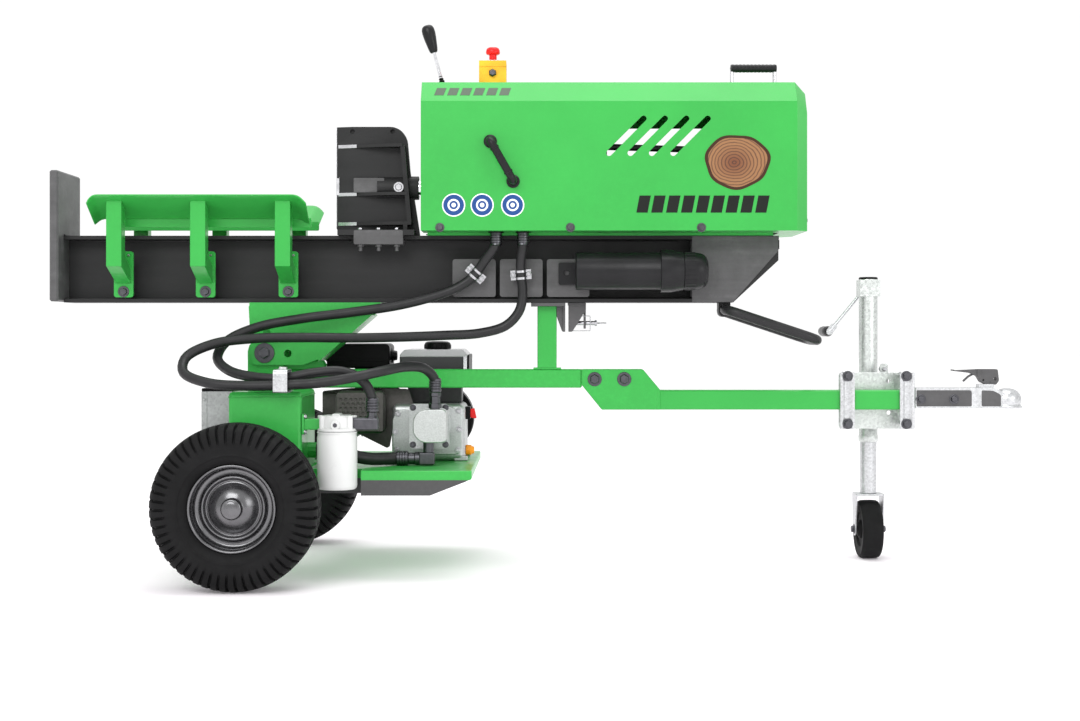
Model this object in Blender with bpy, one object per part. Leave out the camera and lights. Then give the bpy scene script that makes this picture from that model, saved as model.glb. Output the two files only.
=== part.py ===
"""Towable log splitter: a tilting splitting beam on a two-wheeled chassis with a jack.

Metres, +Z up, the ground at Z = 0.  X runs from the foot plate (-X) to the tow
coupler (+X) and Y across the machine, the operator's side at -Y.  Every length
below is measured from the machine's datum line, which lies DATUM_X off the
middle of the whole machine.
"""
import math

import bmesh
import bpy
from mathutils import Matrix, Vector

for leftover in list(bpy.data.objects):
    bpy.data.objects.remove(leftover, do_unlink=True)

# ---------------------------------------------------------------- driving sizes
DATUM_X = -0.0155
GAP = 0.0005

WHEEL_X, WHEEL_RADIUS, WHEEL_WIDTH, WHEEL_TRACK = -0.685, 0.192, 0.15, 0.846
RIM_RADIUS, AXLE_RADIUS = 0.0965, 0.0150

PIVOT_X, PIVOT_Z, PIVOT_BOLT_RADIUS = -0.678, 0.539, 0.0095

BEAM_LEFT, BEAM_RIGHT = -1.1866, 0.614
BEAM_BOTTOM, BEAM_TOP, BEAM_HALF_WIDTH, FLANGE, WEB = 0.666, 0.834, 0.052, 0.009, 0.008
FOOT_PLATE_LEFT = -1.209

CHASSIS_BOTTOM, CHASSIS_TOP, CHASSIS_HALF_WIDTH = 0.450, 0.497, 0.0245
UPRIGHT_LEFT, UPRIGHT_RIGHT, UPRIGHT_HALF_WIDTH = -0.722, -0.634, 0.060
CHASSIS_RIGHT = 0.1187

TRAY_TOP, TRAY_LEFT, TRAY_RIGHT, TRAY_NEAR, TRAY_FAR = 0.2635, -0.545, -0.150, -0.300, 0.335

ENGINE_X, ENGINE_Z, ENGINE_FACE = -0.257, 0.362, -0.015
PUMP_Y = -0.150

TANK_LEFT, TANK_RIGHT, TANK_NEAR, TANK_FAR = -0.722, -0.550, -0.320, -0.080
TANK_BOTTOM, TANK_TOP = 0.2185, 0.4505

CYLINDER_Z, CYLINDER_RADIUS, BORE_RADIUS, ROD_RADIUS = 0.958, 0.055, 0.045, 0.020
CYLINDER_LEFT, CYLINDER_RIGHT = -0.235, 0.620
SPLITTING_STROKE = 0.610

COVER_LEFT, COVER_RIGHT, COVER_NOSE = -0.281, 0.645, 0.674
COVER_BOTTOM, COVER_SHOULDER, COVER_TOP = 0.841, 1.1595, 1.2115
COVER_HALF_WIDTH, COVER_TOP_HALF_WIDTH, SHEET = 0.150, 0.110, 0.003

HOSE_RADIUS, SUCTION_HOSE_RADIUS = 0.012, 0.0155

JACK_X, JACK_Y, JACK_SWIVEL_X, JACK_SWIVEL_Z = 0.872, 0.110, 0.866, 0.419
JACK_WHEEL_RADIUS, JACK_WHEEL_WIDTH = 0.076, 0.057
CRANK_X, CRANK_Z = 0.872, 0.7055

COUPLER_LEFT, COUPLER_NOSE, COUPLER_BOTTOM, COUPLER_TOP = 0.9635, 1.240, 0.398, 0.450

# Where each moving body's own origin sits, on its joint's axis.
BODY_ORIGINS = {
    "chassis": (0.0, 0.0, 0.0),
    "left_wheel": (WHEEL_X, -WHEEL_TRACK / 2, WHEEL_RADIUS),
    "right_wheel": (WHEEL_X, WHEEL_TRACK / 2, WHEEL_RADIUS),
    "beam": (PIVOT_X, 0.0, PIVOT_Z),
    "ram": (CYLINDER_LEFT, 0.0, CYLINDER_Z),
    "valve_lever": (-0.226, -0.050, 1.190),
    "stop_button": (-0.106, -0.050, 1.270),
    "canister_lid": (0.369, -0.100, 0.743),
    "latch_pin": (0.0868, 0.0, 0.614),
    "jack": (JACK_SWIVEL_X, JACK_Y, JACK_SWIVEL_Z),
    "jack_leg": (JACK_X, JACK_Y, 0.304),
    "jack_caster": (JACK_X, JACK_Y, 0.170),
    "jack_roller": (JACK_X, JACK_Y, JACK_WHEEL_RADIUS),
    "jack_handle": (CRANK_X, JACK_Y, CRANK_Z),
    "jack_lock": (0.902, 0.036, 0.4955),
    "hitch_lever": (1.168, 0.0, 0.466),
    "fuel_lid": (-0.2555, 0.120, 0.5468),
    "oil_lid": (-0.640, -0.200, 0.451),
    "dipstick": (-0.1777, 0.030, 0.2885),
    "starter": (-0.262, 0.305, 0.432),
    "throttle": (-0.400, 0.172, 0.395),
}
BODY_PARENTS = {
    "ram": "beam", "valve_lever": "beam", "stop_button": "beam", "canister_lid": "beam",
    "latch_pin": "beam", "jack_leg": "jack", "jack_caster": "jack_leg",
    "jack_roller": "jack_caster", "jack_handle": "jack", "jack_lock": "jack",
}

# ---------------------------------------------------------------- materials
PAINTS = {
    "green_paint": ((0.070, 0.600, 0.110), 0.38, 0.0),
    "dark_paint": ((0.055, 0.055, 0.058), 0.45, 0.0),
    "plate_paint": ((0.110, 0.110, 0.114), 0.42, 0.0),
    "black_plastic": ((0.018, 0.018, 0.019), 0.50, 0.0),
    "rubber": ((0.022, 0.022, 0.023), 0.80, 0.0),
    "rim_metal": ((0.330, 0.330, 0.345), 0.28, 1.0),
    "zinc": ((0.620, 0.630, 0.640), 0.38, 1.0),
    "cast_aluminium": ((0.560, 0.565, 0.570), 0.50, 1.0),
    "chrome": ((0.800, 0.800, 0.810), 0.10, 1.0),
    "white_paint": ((0.800, 0.800, 0.800), 0.40, 0.0),
    "yellow_plastic": ((0.800, 0.580, 0.030), 0.45, 0.0),
    "red_plastic": ((0.600, 0.020, 0.020), 0.35, 0.0),
    "muffler_steel": ((0.090, 0.088, 0.085), 0.60, 0.6),
}


def make_material(name):
    """A Principled material with the finish's colour, roughness and metal value."""
    colour, roughness, metallic = PAINTS[name]
    material = bpy.data.materials.new(name)
    material.use_nodes = True
    shader = material.node_tree.nodes["Principled BSDF"]
    shader.inputs["Base Color"].default_value = (*colour, 1.0)
    shader.inputs["Roughness"].default_value = roughness
    shader.inputs["Metallic"].default_value = metallic
    material.diffuse_color = (*colour, 1.0)
    return material


MATERIALS = {name: make_material(name) for name in PAINTS}

# ---------------------------------------------------------------- bodies
BODY_EMPTIES = {}


def make_bodies():
    """One empty on each body's joint axis, each under the body that carries it."""
    datum = bpy.data.objects.new("machine_datum", None)
    datum.location = (DATUM_X, 0.0, 0.0)
    bpy.context.collection.objects.link(datum)
    for body, origin in BODY_ORIGINS.items():
        empty = bpy.data.objects.new(body + "_axis", None)
        bpy.context.collection.objects.link(empty)
        carrier = BODY_PARENTS.get(body, "chassis" if body != "chassis" else None)
        if carrier is None:
            empty.parent = datum
        else:
            empty.parent = BODY_EMPTIES[carrier]
            empty.location = Vector(origin) - Vector(BODY_ORIGINS[carrier])
        BODY_EMPTIES[body] = empty


def place(solid, name, body, paint, smooth_angle=32.0):
    """Name a finished solid, give it its finish and hang it on its body."""
    origin = Vector(BODY_ORIGINS[body])
    solid.name = name
    solid.data.name = name
    solid.data.materials.clear()
    solid.data.materials.append(MATERIALS[paint])
    solid.parent = BODY_EMPTIES[body]
    if solid.type == "CURVE":
        solid.location = -origin
        return solid
    solid.data.transform(Matrix.Translation(-origin))
    solid.data.shade_smooth()
    solid.data.set_sharp_from_angle(angle=math.radians(smooth_angle))
    return solid


# ---------------------------------------------------------------- solids
def solid_from(bm, bevel=0.0, steps=1):
    """A new object from a closed bmesh, its faces pointing out, its edges bevelled."""
    bmesh.ops.recalc_face_normals(bm, faces=bm.faces)
    if bevel > 0.0:
        sharp = [edge for edge in bm.edges if edge.calc_face_angle(0.0) > math.radians(40)]
        bmesh.ops.bevel(bm, geom=sharp, offset=bevel, segments=steps, profile=0.5,
                        affect="EDGES", clamp_overlap=True)
    mesh = bpy.data.meshes.new("solid")
    bm.to_mesh(mesh)
    bm.free()
    solid = bpy.data.objects.new("solid", mesh)
    bpy.context.collection.objects.link(solid)
    return solid


def box(x_span, y_span, z_span, bevel=0.0, steps=1):
    """A block between two values on each axis."""
    bm = bmesh.new()
    bmesh.ops.create_cube(bm, size=1.0)
    spans = (x_span, y_span, z_span)
    for vert in bm.verts:
        vert.co = [low + (vert.co[axis] + 0.5) * (high - low)
                   for axis, (low, high) in enumerate(spans)]
    return solid_from(bm, bevel, steps)


def filleted(corners, steps=3):
    """The outline through 2-D corners; a corner given as (u, v, radius) is rounded."""
    outline = []
    count = len(corners)
    for index, corner in enumerate(corners):
        here = Vector(corner[:2])
        if len(corner) == 2:
            outline.append(here)
            continue
        to_last = (Vector(corners[index - 1][:2]) - here).normalized()
        to_next = (Vector(corners[(index + 1) % count][:2]) - here).normalized()
        half = to_last.angle(to_next) / 2
        radius = corner[2]
        bisector = (to_last + to_next).normalized()
        centre = here + bisector * (radius / math.sin(half))
        start = here + to_last * (radius / math.tan(half)) - centre
        turn = start.angle_signed(here + to_next * (radius / math.tan(half)) - centre)
        for step in range(steps + 1):
            angle = -turn * step / steps
            cosine, sine = math.cos(angle), math.sin(angle)
            outline.append(centre + Vector((start.x * cosine - start.y * sine,
                                            start.x * sine + start.y * cosine)))
    return outline


PLANES = {
    "XZ": lambda u, v, w: (u, w, v),
    "YZ": lambda u, v, w: (w, u, v),
    "XY": lambda u, v, w: (u, v, w),
}


def slab(outline, plane, low, high, bevel=0.0):
    """A flat outline in one plane, extruded from low to high across it."""
    to_space = PLANES[plane]
    bm = bmesh.new()
    rings = [[bm.verts.new(to_space(u, v, level)) for u, v in outline] for level in (low, high)]
    bm.faces.new(rings[0])
    bm.faces.new(reversed(rings[1]))
    count = len(outline)
    for index in range(count):
        after = (index + 1) % count
        bm.faces.new((rings[0][index], rings[1][index], rings[1][after], rings[0][after]))
    return solid_from(bm, bevel)


def turned(profile, start, axis, segments=24):
    """A profile of (radius, distance along the axis) turned into a closed solid."""
    axis = Vector(axis).normalized()
    across = axis.orthogonal().normalized() if abs(axis.z) < 0.5 else Vector((1, 0, 0))
    if abs(axis.y) > 0.9 or abs(axis.x) > 0.9:
        across = Vector((0, 0, 1))
    other = axis.cross(across)
    start = Vector(start)
    bm = bmesh.new()
    rings = []
    for radius, height in profile:
        middle = start + axis * height
        if radius == 0.0:
            rings.append([bm.verts.new(middle)])
            continue
        rings.append([bm.verts.new(middle + radius * (
            across * math.cos(math.tau * step / segments)
            + other * math.sin(math.tau * step / segments))) for step in range(segments)])
    for index, ring in enumerate(rings):
        following = rings[(index + 1) % len(rings)]
        if len(ring) == 1 and len(following) == 1:
            continue
        for step in range(segments):
            after = (step + 1) % segments
            corners = [ring[step % len(ring)], ring[after % len(ring)],
                       following[after % len(following)], following[step % len(following)]]
            distinct = list(dict.fromkeys(corners))
            bm.faces.new(distinct)
    return solid_from(bm)


def bar(start, end, radius, segments=12):
    """A plain round bar between two points."""
    start, end = Vector(start), Vector(end)
    length = (end - start).length
    return turned([(0, 0), (radius, 0), (radius, length), (0, length)],
                  start, end - start, segments)


def rounded_path(corners, bend, closed=False, steps=4):
    """3-D corners joined by straight runs with round bends."""
    corners = [Vector(corner) for corner in corners]
    path = []
    count = len(corners)
    for index, corner in enumerate(corners):
        if not closed and index in (0, count - 1):
            path.append(corner)
            continue
        to_last = (corners[index - 1] - corner).normalized()
        to_next = (corners[(index + 1) % count] - corner).normalized()
        half = to_last.angle(to_next) / 2
        reach = bend / math.tan(half)
        centre = corner + (to_last + to_next).normalized() * (bend / math.sin(half))
        first = corner + to_last * reach - centre
        last = corner + to_next * reach - centre
        sweep = first.angle(last)
        for step in range(steps + 1):
            share = step / steps
            path.append(centre + first * (math.sin((1 - share) * sweep) / math.sin(sweep))
                        + last * (math.sin(share * sweep) / math.sin(sweep)))
    return path


def bent_tube(corners, radius, bend, closed=False, sides=10, steps=4):
    """A round tube swept along corners with round bends."""
    path = rounded_path(corners, bend, closed, steps)
    count = len(path)
    bm = bmesh.new()
    rings = []
    side = None
    for index, point in enumerate(path):
        before = path[index - 1] if closed or index else point
        after = path[(index + 1) % count] if closed or index < count - 1 else point
        along = (after - before).normalized()
        if side is None:
            side = along.orthogonal().normalized()
        side = (side - along * side.dot(along)).normalized()
        other = along.cross(side)
        rings.append([bm.verts.new(point + radius * (
            side * math.cos(math.tau * step / sides)
            + other * math.sin(math.tau * step / sides))) for step in range(sides)])
    for index in range(count if closed else count - 1):
        ring, following = rings[index], rings[(index + 1) % count]
        for step in range(sides):
            after = (step + 1) % sides
            bm.faces.new((ring[step], ring[after], following[after], following[step]))
    if not closed:
        bm.faces.new(rings[0])
        bm.faces.new(rings[-1])
    return solid_from(bm)


def carve(base, tools, operation):
    """Join tools to a solid (UNION) or cut them out of it (DIFFERENCE)."""
    for tool in tools:
        modifier = base.modifiers.new("carve", "BOOLEAN")
        modifier.operation = operation
        modifier.solver = "EXACT"
        modifier.object = tool
    bpy.context.view_layer.update()
    graph = bpy.context.evaluated_depsgraph_get()
    mesh = bpy.data.meshes.new_from_object(base.evaluated_get(graph))
    base.modifiers.clear()
    base.data = mesh
    for tool in tools:
        bpy.data.objects.remove(tool, do_unlink=True)
    return base


def fuse(base, *tools):
    return carve(base, tools, "UNION")


def cut(base, *tools):
    return carve(base, tools, "DIFFERENCE")


def hollow_box(x_span, y_span, z_span, wall, opening, bevel=0.0, steps=1):
    """A box with an even wall and one opening cut by another solid."""
    shell = box(x_span, y_span, z_span, bevel, steps)
    inner_spans = [(low + wall, high - wall) for low, high in (x_span, y_span, z_span)]
    inside = box(*inner_spans, max(0.0, bevel - wall), steps)
    return cut(shell, inside, opening)


def mirrored_y(outline):
    """An outline in the YZ or XY plane, flipped across Y = 0."""
    return [(-point[0], *point[1:]) for point in outline]


# ---------------------------------------------------------------- hoses
def smooth_route(points, spacing):
    """Evenly spaced points along a Catmull-Rom curve through a hose's route."""
    points = [Vector(point) for point in points]
    padded = [2 * points[0] - points[1], *points, 2 * points[-1] - points[-2]]
    fine = [points[0]]
    for index in range(1, len(padded) - 2):
        p0, p1, p2, p3 = padded[index - 1:index + 3]
        t1 = (p1 - p0).length ** 0.5
        t2 = t1 + (p2 - p1).length ** 0.5
        t3 = t2 + (p3 - p2).length ** 0.5
        for step in range(1, 25):
            t = t1 + (t2 - t1) * step / 24
            a1 = p0.lerp(p1, t / t1)
            a2 = p1.lerp(p2, (t - t1) / (t2 - t1))
            a3 = p2.lerp(p3, (t - t2) / (t3 - t2))
            b1 = a1.lerp(a2, t / t2)
            b2 = a2.lerp(a3, (t - t1) / (t3 - t1))
            fine.append(b1.lerp(b2, (t - t1) / (t2 - t1)))
    lengths = [0.0]
    for before, after in zip(fine, fine[1:]):
        lengths.append(lengths[-1] + (after - before).length)
    count = max(4, round(lengths[-1] / spacing))
    even = []
    index = 0
    for step in range(count + 1):
        target = lengths[-1] * step / count
        while index < len(fine) - 2 and lengths[index + 1] < target:
            index += 1
        share = (target - lengths[index]) / (lengths[index + 1] - lengths[index])
        even.append(fine[index].lerp(fine[index + 1], min(1.0, share)))
    return even


def hose(route, radius):
    """A hose as a curve with a round section and square, filled ends."""
    points = smooth_route(route, 4.5 * radius)
    straight = 0.008
    points.insert(1, points[0] + (Vector(route[1]) - points[0]).normalized() * straight)
    points.insert(-1, points[-1] + (Vector(route[-2]) - points[-1]).normalized() * straight)
    curve = bpy.data.curves.new("hose", "CURVE")
    curve.dimensions = "3D"
    curve.bevel_depth = radius
    curve.bevel_resolution = 2
    curve.render_resolution_u = 0
    curve.use_fill_caps = True
    spline = curve.splines.new("POLY")
    spline.points.add(len(points) - 1)
    for target, point in zip(spline.points, points):
        target.co = (*point, 1.0)
    solid = bpy.data.objects.new("hose", curve)
    bpy.context.collection.objects.link(solid)
    return solid


# Each route runs from the control valve's end to the chassis end.
RETURN_HOSE_ROUTE = [
    (-0.097, -0.100, 0.8400), (-0.0980, -0.0997, 0.812), (-0.126, -0.090, 0.769),
    (-0.1526, -0.083, 0.7327), (-0.188, -0.082, 0.706), (-0.245, -0.084, 0.683),
    (-0.337, -0.092, 0.6588), (-0.460, -0.105, 0.640), (-0.582, -0.120, 0.624),
    (-0.685, -0.140, 0.603), (-0.752, -0.172, 0.570), (-0.768, -0.215, 0.530),
    (-0.731, -0.265, 0.500), (-0.665, -0.305, 0.4855), (-0.593, -0.3215, 0.4825),
    (-0.520, -0.319, 0.4955), (-0.455, -0.312, 0.4985), (-0.409, -0.304, 0.478),
    (-0.3875, -0.3005, 0.442), (-0.3856, -0.300, 0.4030),
]
PRESSURE_HOSE_ROUTE = [
    (-0.030, -0.100, 0.8400), (-0.0305, -0.0995, 0.808), (-0.036, -0.088, 0.765),
    (-0.035, -0.083, 0.7327), (-0.031, -0.083, 0.690), (-0.039, -0.085, 0.645),
    (-0.072, -0.088, 0.608), (-0.135, -0.092, 0.589), (-0.230, -0.098, 0.583),
    (-0.335, -0.112, 0.579), (-0.440, -0.135, 0.577), (-0.560, -0.165, 0.578),
    (-0.680, -0.198, 0.576), (-0.775, -0.225, 0.563), (-0.834, -0.256, 0.532),
    (-0.833, -0.293, 0.496), (-0.768, -0.327, 0.472), (-0.680, -0.343, 0.466),
    (-0.589, -0.3475, 0.4678), (-0.500, -0.350, 0.4735), (-0.425, -0.343, 0.4855),
    (-0.362, -0.305, 0.4990), (-0.310, -0.240, 0.5080), (-0.268, -0.182, 0.5015),
    (-0.2465, -0.1520, 0.4745), (-0.2458, -0.150, 0.4445),
]
SUCTION_HOSE_ROUTE = [
    (-0.5290, -0.200, 0.3050), (-0.500, -0.200, 0.3048), (-0.455, -0.196, 0.2935),
    (-0.405, -0.178, 0.2825), (-0.350, -0.1515, 0.2810), (-0.3110, -0.150, 0.2810),
]


# ---------------------------------------------------------------- wheels and axle
def wheel_parts():
    """Both road wheels: a tyre closed round a dished rim with its bearing hub."""
    half = WHEEL_WIDTH / 2
    bead = RIM_RADIUS + 0.0006
    side = [(bead, half - 0.020), (0.122, half - 0.005), (0.150, half), (0.172, half - 0.004),
            (0.186, half - 0.017), (WHEEL_RADIUS, 0.030)]
    tyre_profile = side + [(radius, -offset) for radius, offset in reversed(side)]
    rim_profile = [
        (AXLE_RADIUS + 0.0006, -0.058), (0.028, -0.058), (0.030, -0.040), (0.059, -0.028),
        (0.073, -0.044), (RIM_RADIUS, -0.053), (RIM_RADIUS, 0.053),
        (0.073, 0.044), (0.059, 0.000), (0.030, 0.012), (0.028, 0.055),
        (AXLE_RADIUS + 0.0006, 0.055),
    ]
    for side_name, direction in (("left", -1), ("right", 1)):
        body = side_name + "_wheel"
        centre = BODY_ORIGINS[body]
        axis = (0, -direction, 0)
        place(turned(tyre_profile, centre, axis, 32), side_name + "_tyre", body, "rubber")
        place(turned(rim_profile, centre, axis, 32), side_name + "_rim", body, "rim_metal")


def axle():
    """Square axle tube with a round stub through each wheel hub."""
    half = WHEEL_TRACK / 2 - WHEEL_WIDTH / 2 - 0.020
    tube = box((WHEEL_X - 0.025, WHEEL_X + 0.025), (-half, half),
               (WHEEL_RADIUS - 0.025, WHEEL_RADIUS + 0.025), 0.004)
    reach = WHEEL_TRACK / 2 + 0.062
    stub = bar((WHEEL_X, -reach, WHEEL_RADIUS), (WHEEL_X, reach, WHEEL_RADIUS), AXLE_RADIUS)
    place(fuse(tube, stub), "axle", "chassis", "green_paint")


# ---------------------------------------------------------------- chassis
def frame_parts():
    """Upright with the pivot ears, backbone tube, beam rest post and offset tongue."""
    ear_top = PIVOT_Z + 0.034
    outline = filleted([(UPRIGHT_LEFT, WHEEL_RADIUS + 0.0255), (UPRIGHT_RIGHT, WHEEL_RADIUS + 0.0255),
                        (UPRIGHT_RIGHT, ear_top, 0.030), (UPRIGHT_LEFT, ear_top, 0.030)])
    upright = slab(outline, "XZ", -UPRIGHT_HALF_WIDTH, UPRIGHT_HALF_WIDTH)
    throat = box((UPRIGHT_LEFT - 0.01, UPRIGHT_RIGHT + 0.01), (-0.050, 0.050),
                 (CHASSIS_TOP + 0.002, 0.70))
    core = box((UPRIGHT_LEFT + 0.005, UPRIGHT_RIGHT - 0.005), (-0.055, 0.055), (0.10, 0.44))
    bolt_hole = bar((PIVOT_X, -0.1, PIVOT_Z), (PIVOT_X, 0.1, PIVOT_Z), PIVOT_BOLT_RADIUS + 0.0006)
    place(cut(upright, throat, core, bolt_hole), "pivot_upright", "chassis", "green_paint")

    tube = box((UPRIGHT_RIGHT + GAP, CHASSIS_RIGHT), (-CHASSIS_HALF_WIDTH, CHASSIS_HALF_WIDTH),
               (CHASSIS_BOTTOM, CHASSIS_TOP), 0.003)
    place(tube, "chassis_tube", "chassis", "green_paint")

    post = box((0.006, 0.055), (-CHASSIS_HALF_WIDTH, CHASSIS_HALF_WIDTH),
               (CHASSIS_TOP + GAP, 0.658), 0.003)
    saddle = box((-0.010, 0.0765), (-0.050, 0.050), (0.656, BEAM_BOTTOM - GAP), 0.001)
    lip = box((0.0705, 0.0765), (-0.030, 0.030), (0.592, 0.660))
    gusset = slab([(0.054, 0.657), (0.054, 0.600), (0.0715, 0.657)], "XZ", -0.003, 0.003)
    pin_hole = bar((0.06, 0, 0.614), (0.09, 0, 0.614), 0.0065)
    place(cut(fuse(post, saddle, lip, gusset), pin_hole), "support_post", "chassis", "green_paint")

    left, low, high = CHASSIS_RIGHT + GAP, 0.3946, 0.444
    cheek = slab([(left, CHASSIS_TOP), (0.2735, CHASSIS_TOP), (0.318, high), (0.318, low),
                  (0.169, low), (left, 0.4560)], "XZ", -0.0275, 0.0275, 0.002)
    tube = box((0.310, 0.962), (-0.0247, 0.0247), (low, high), 0.003)
    stub = box((0.955, 1.075), (-0.0200, 0.0200), (0.402, 0.440))
    place(fuse(cheek, tube, stub), "tongue", "chassis", "green_paint")


def tray_parts():
    """Engine tray with its folded skirt and the arm back to the upright."""
    skirt = filleted([(TRAY_LEFT, 0.205), (-0.249, 0.205), (-0.162, 0.239),
                      (TRAY_RIGHT, 0.243), (TRAY_RIGHT, TRAY_TOP), (TRAY_LEFT, TRAY_TOP)])
    tray = slab(skirt, "XZ", TRAY_NEAR, TRAY_FAR, 0.002)
    inside = box((TRAY_LEFT - 0.01, -0.215), (TRAY_NEAR + 0.004, TRAY_FAR - 0.004),
                 (0.190, TRAY_TOP - 0.004))
    arm = box((UPRIGHT_RIGHT + GAP, TRAY_LEFT + 0.08), (-0.045, 0.045), (0.210, TRAY_TOP - 0.001))
    filter_notch = box((TRAY_LEFT - 0.01, -0.412), (TRAY_NEAR - 0.01, -0.245), (0.190, 0.280))
    place(fuse(cut(tray, inside, filter_notch), arm), "engine_tray", "chassis", "green_paint")


# ---------------------------------------------------------------- tanks and filter
def tank_parts():
    """Hydraulic tank, its filler cap, the hose clamp on it, battery box and filter."""
    cap_x, cap_y = BODY_ORIGINS["oil_lid"][:2]
    filler = bar((cap_x, cap_y, TANK_TOP - 0.02), (cap_x, cap_y, TANK_TOP + 0.01), 0.018)
    tank = hollow_box((TANK_LEFT, TANK_RIGHT), (TANK_NEAR, TANK_FAR), (TANK_BOTTOM, TANK_TOP),
                      0.004, filler, 0.008, 2)
    foot = box((-0.705, -0.650), (TANK_FAR - 0.002, -UPRIGHT_HALF_WIDTH - GAP), (0.300, 0.360))
    port = bar((TANK_RIGHT - 0.002, -0.200, 0.305), (-0.530, -0.200, 0.305), 0.019)
    place(fuse(tank, foot, port), "hydraulic_tank", "chassis", "green_paint")
    cap = turned([(0, 0), (0.025, 0), (0.025, 0.020), (0.021, 0.024), (0, 0.024)],
                 (cap_x, cap_y, TANK_TOP + GAP), (0, 0, 1), 20)
    place(cap, "tank_filler_cap", "oil_lid", "black_plastic")

    foot = box((-0.6095, -0.5760), (-0.3020, -0.270), (TANK_TOP + GAP, TANK_TOP + 0.0035))
    back = box((-0.6095, -0.5760), (-0.3035, -0.3005), (TANK_TOP + GAP, 0.499))
    place(fuse(foot, back), "tank_hose_clamp", "chassis", "zinc")

    cable_hole = bar((-0.760, -0.12, 0.42), (-0.760, -0.06, 0.42), 0.006, 12)
    battery = hollow_box((-0.798, TANK_LEFT - GAP), (-0.250, TANK_FAR), (0.260, 0.455),
                         0.003, cable_hole, 0.003)
    place(battery, "battery_box", "chassis", "zinc")

    filter_x, filter_y = -0.468, -0.300
    head = turned([(0, 0), (0.046, 0), (0.047, 0.012), (0.040, 0.038), (0, 0.038)],
                  (filter_x, filter_y, 0.357), (0, 0, 1), 20)
    arm = box((TANK_RIGHT + GAP, filter_x), (-0.316, -0.284), (0.360, 0.388))
    outlet = box((filter_x, -0.370), (-0.316, -0.284), (0.362, 0.392), 0.004)
    union = bar((-0.3856, filter_y, 0.385), (-0.3856, filter_y, 0.402), 0.0125)
    place(fuse(head, arm, outlet, union), "filter_head", "chassis", "cast_aluminium")
    canister = turned([(0, 0), (0.040, 0), (0.0475, 0.008), (0.0475, 0.1365), (0, 0.1365)],
                      (filter_x, filter_y, 0.2198), (0, 0, 1), 24)
    place(canister, "filter_canister", "chassis", "white_paint")


# ---------------------------------------------------------------- engine and pump
def engine_parts():
    """Single-cylinder engine on the tray, its crankshaft pointing at the pump."""
    base = TRAY_TOP + GAP
    crankcase = box((-0.365, -0.178), (ENGINE_FACE, 0.170), (base, 0.408), 0.012, 2)
    head = box((-0.470, -0.350), (0.025, 0.165), (0.322, 0.430), 0.006)
    shaft = bar((ENGINE_X, -0.050, ENGINE_Z), (ENGINE_X, 0.0, ENGINE_Z), 0.0095)
    place(fuse(crankcase, head, shaft), "engine_block", "chassis", "cast_aluminium")

    starter_x, _, starter_z = BODY_ORIGINS["starter"]
    shroud = turned([(0, 0), (0.094, 0), (0.094, 0.080), (0.080, 0.130), (0, 0.130)],
                    (ENGINE_X, 0.1705, ENGINE_Z), (0, 1, 0), 28)
    rope_hole = bar((starter_x, 0.240, starter_z), (starter_x, 0.320, starter_z), 0.0045, 12)
    place(cut(shroud, rope_hole), "blower_shroud", "chassis", "black_plastic")

    filler = bar((-0.2555, 0.120, 0.53), (-0.2555, 0.120, 0.56), 0.020)
    tank = hollow_box((-0.349, -0.173), (0.035, 0.250), (0.462, 0.5465), 0.003, filler, 0.014, 2)
    leg = box((-0.330, -0.190), (0.070, 0.150), (0.4085, 0.464))
    place(fuse(tank, leg), "fuel_tank", "chassis", "dark_paint")
    cap = turned([(0, 0), (0.0345, 0), (0.0345, 0.014), (0.031, 0.0205), (0, 0.0205)],
                 BODY_ORIGINS["fuel_lid"], (0, 0, 1), 20)
    place(cap, "fuel_cap", "fuel_lid", "black_plastic")

    cover = slab(filleted([(-0.542, 0.497, 0.008), (-0.378, 0.497, 0.008), (-0.378, 0.561, 0.012),
                           (-0.500, 0.561, 0.020), (-0.542, 0.540, 0.012)]),
                 "XZ", 0.0785, 0.225, 0.004)
    elbow = box((-0.470, -0.410), (0.085, 0.160), (0.4305, 0.500), 0.004)
    place(fuse(cover, elbow), "air_cleaner", "chassis", "black_plastic")

    muffler = box((-0.505, -0.378), (-0.048, 0.016), (0.335, 0.443), 0.014, 2)
    pipe = bar((-0.430, 0.010, 0.380), (-0.430, 0.0245, 0.380), 0.014)
    place(fuse(muffler, pipe), "muffler", "chassis", "muffler_steel")

    grip = bar((starter_x - 0.036, 0.318, starter_z), (starter_x + 0.036, 0.318, starter_z), 0.011)
    rope = bar((starter_x, 0.262, starter_z), (starter_x, 0.315, starter_z), 0.003, 10)
    place(fuse(grip, rope), "starter_handle", "starter", "black_plastic")

    cap = turned([(0, 0), (0.0135, 0), (0.0135, 0.014), (0.009, 0.022), (0, 0.022)],
                 BODY_ORIGINS["dipstick"], (1, 0, 0), 16)
    place(cap, "oil_filler_cap", "dipstick", "yellow_plastic")

    pivot_x, _, pivot_z = BODY_ORIGINS["throttle"]
    lever = slab(filleted([(pivot_x - 0.007, pivot_z - 0.008, 0.006),
                           (pivot_x + 0.007, pivot_z - 0.008, 0.006),
                           (pivot_x + 0.006, pivot_z + 0.062, 0.005),
                           (pivot_x - 0.006, pivot_z + 0.062, 0.005)]),
                 "XZ", 0.1658, 0.1690)
    place(lever, "throttle_lever", "throttle", "zinc")


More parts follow.
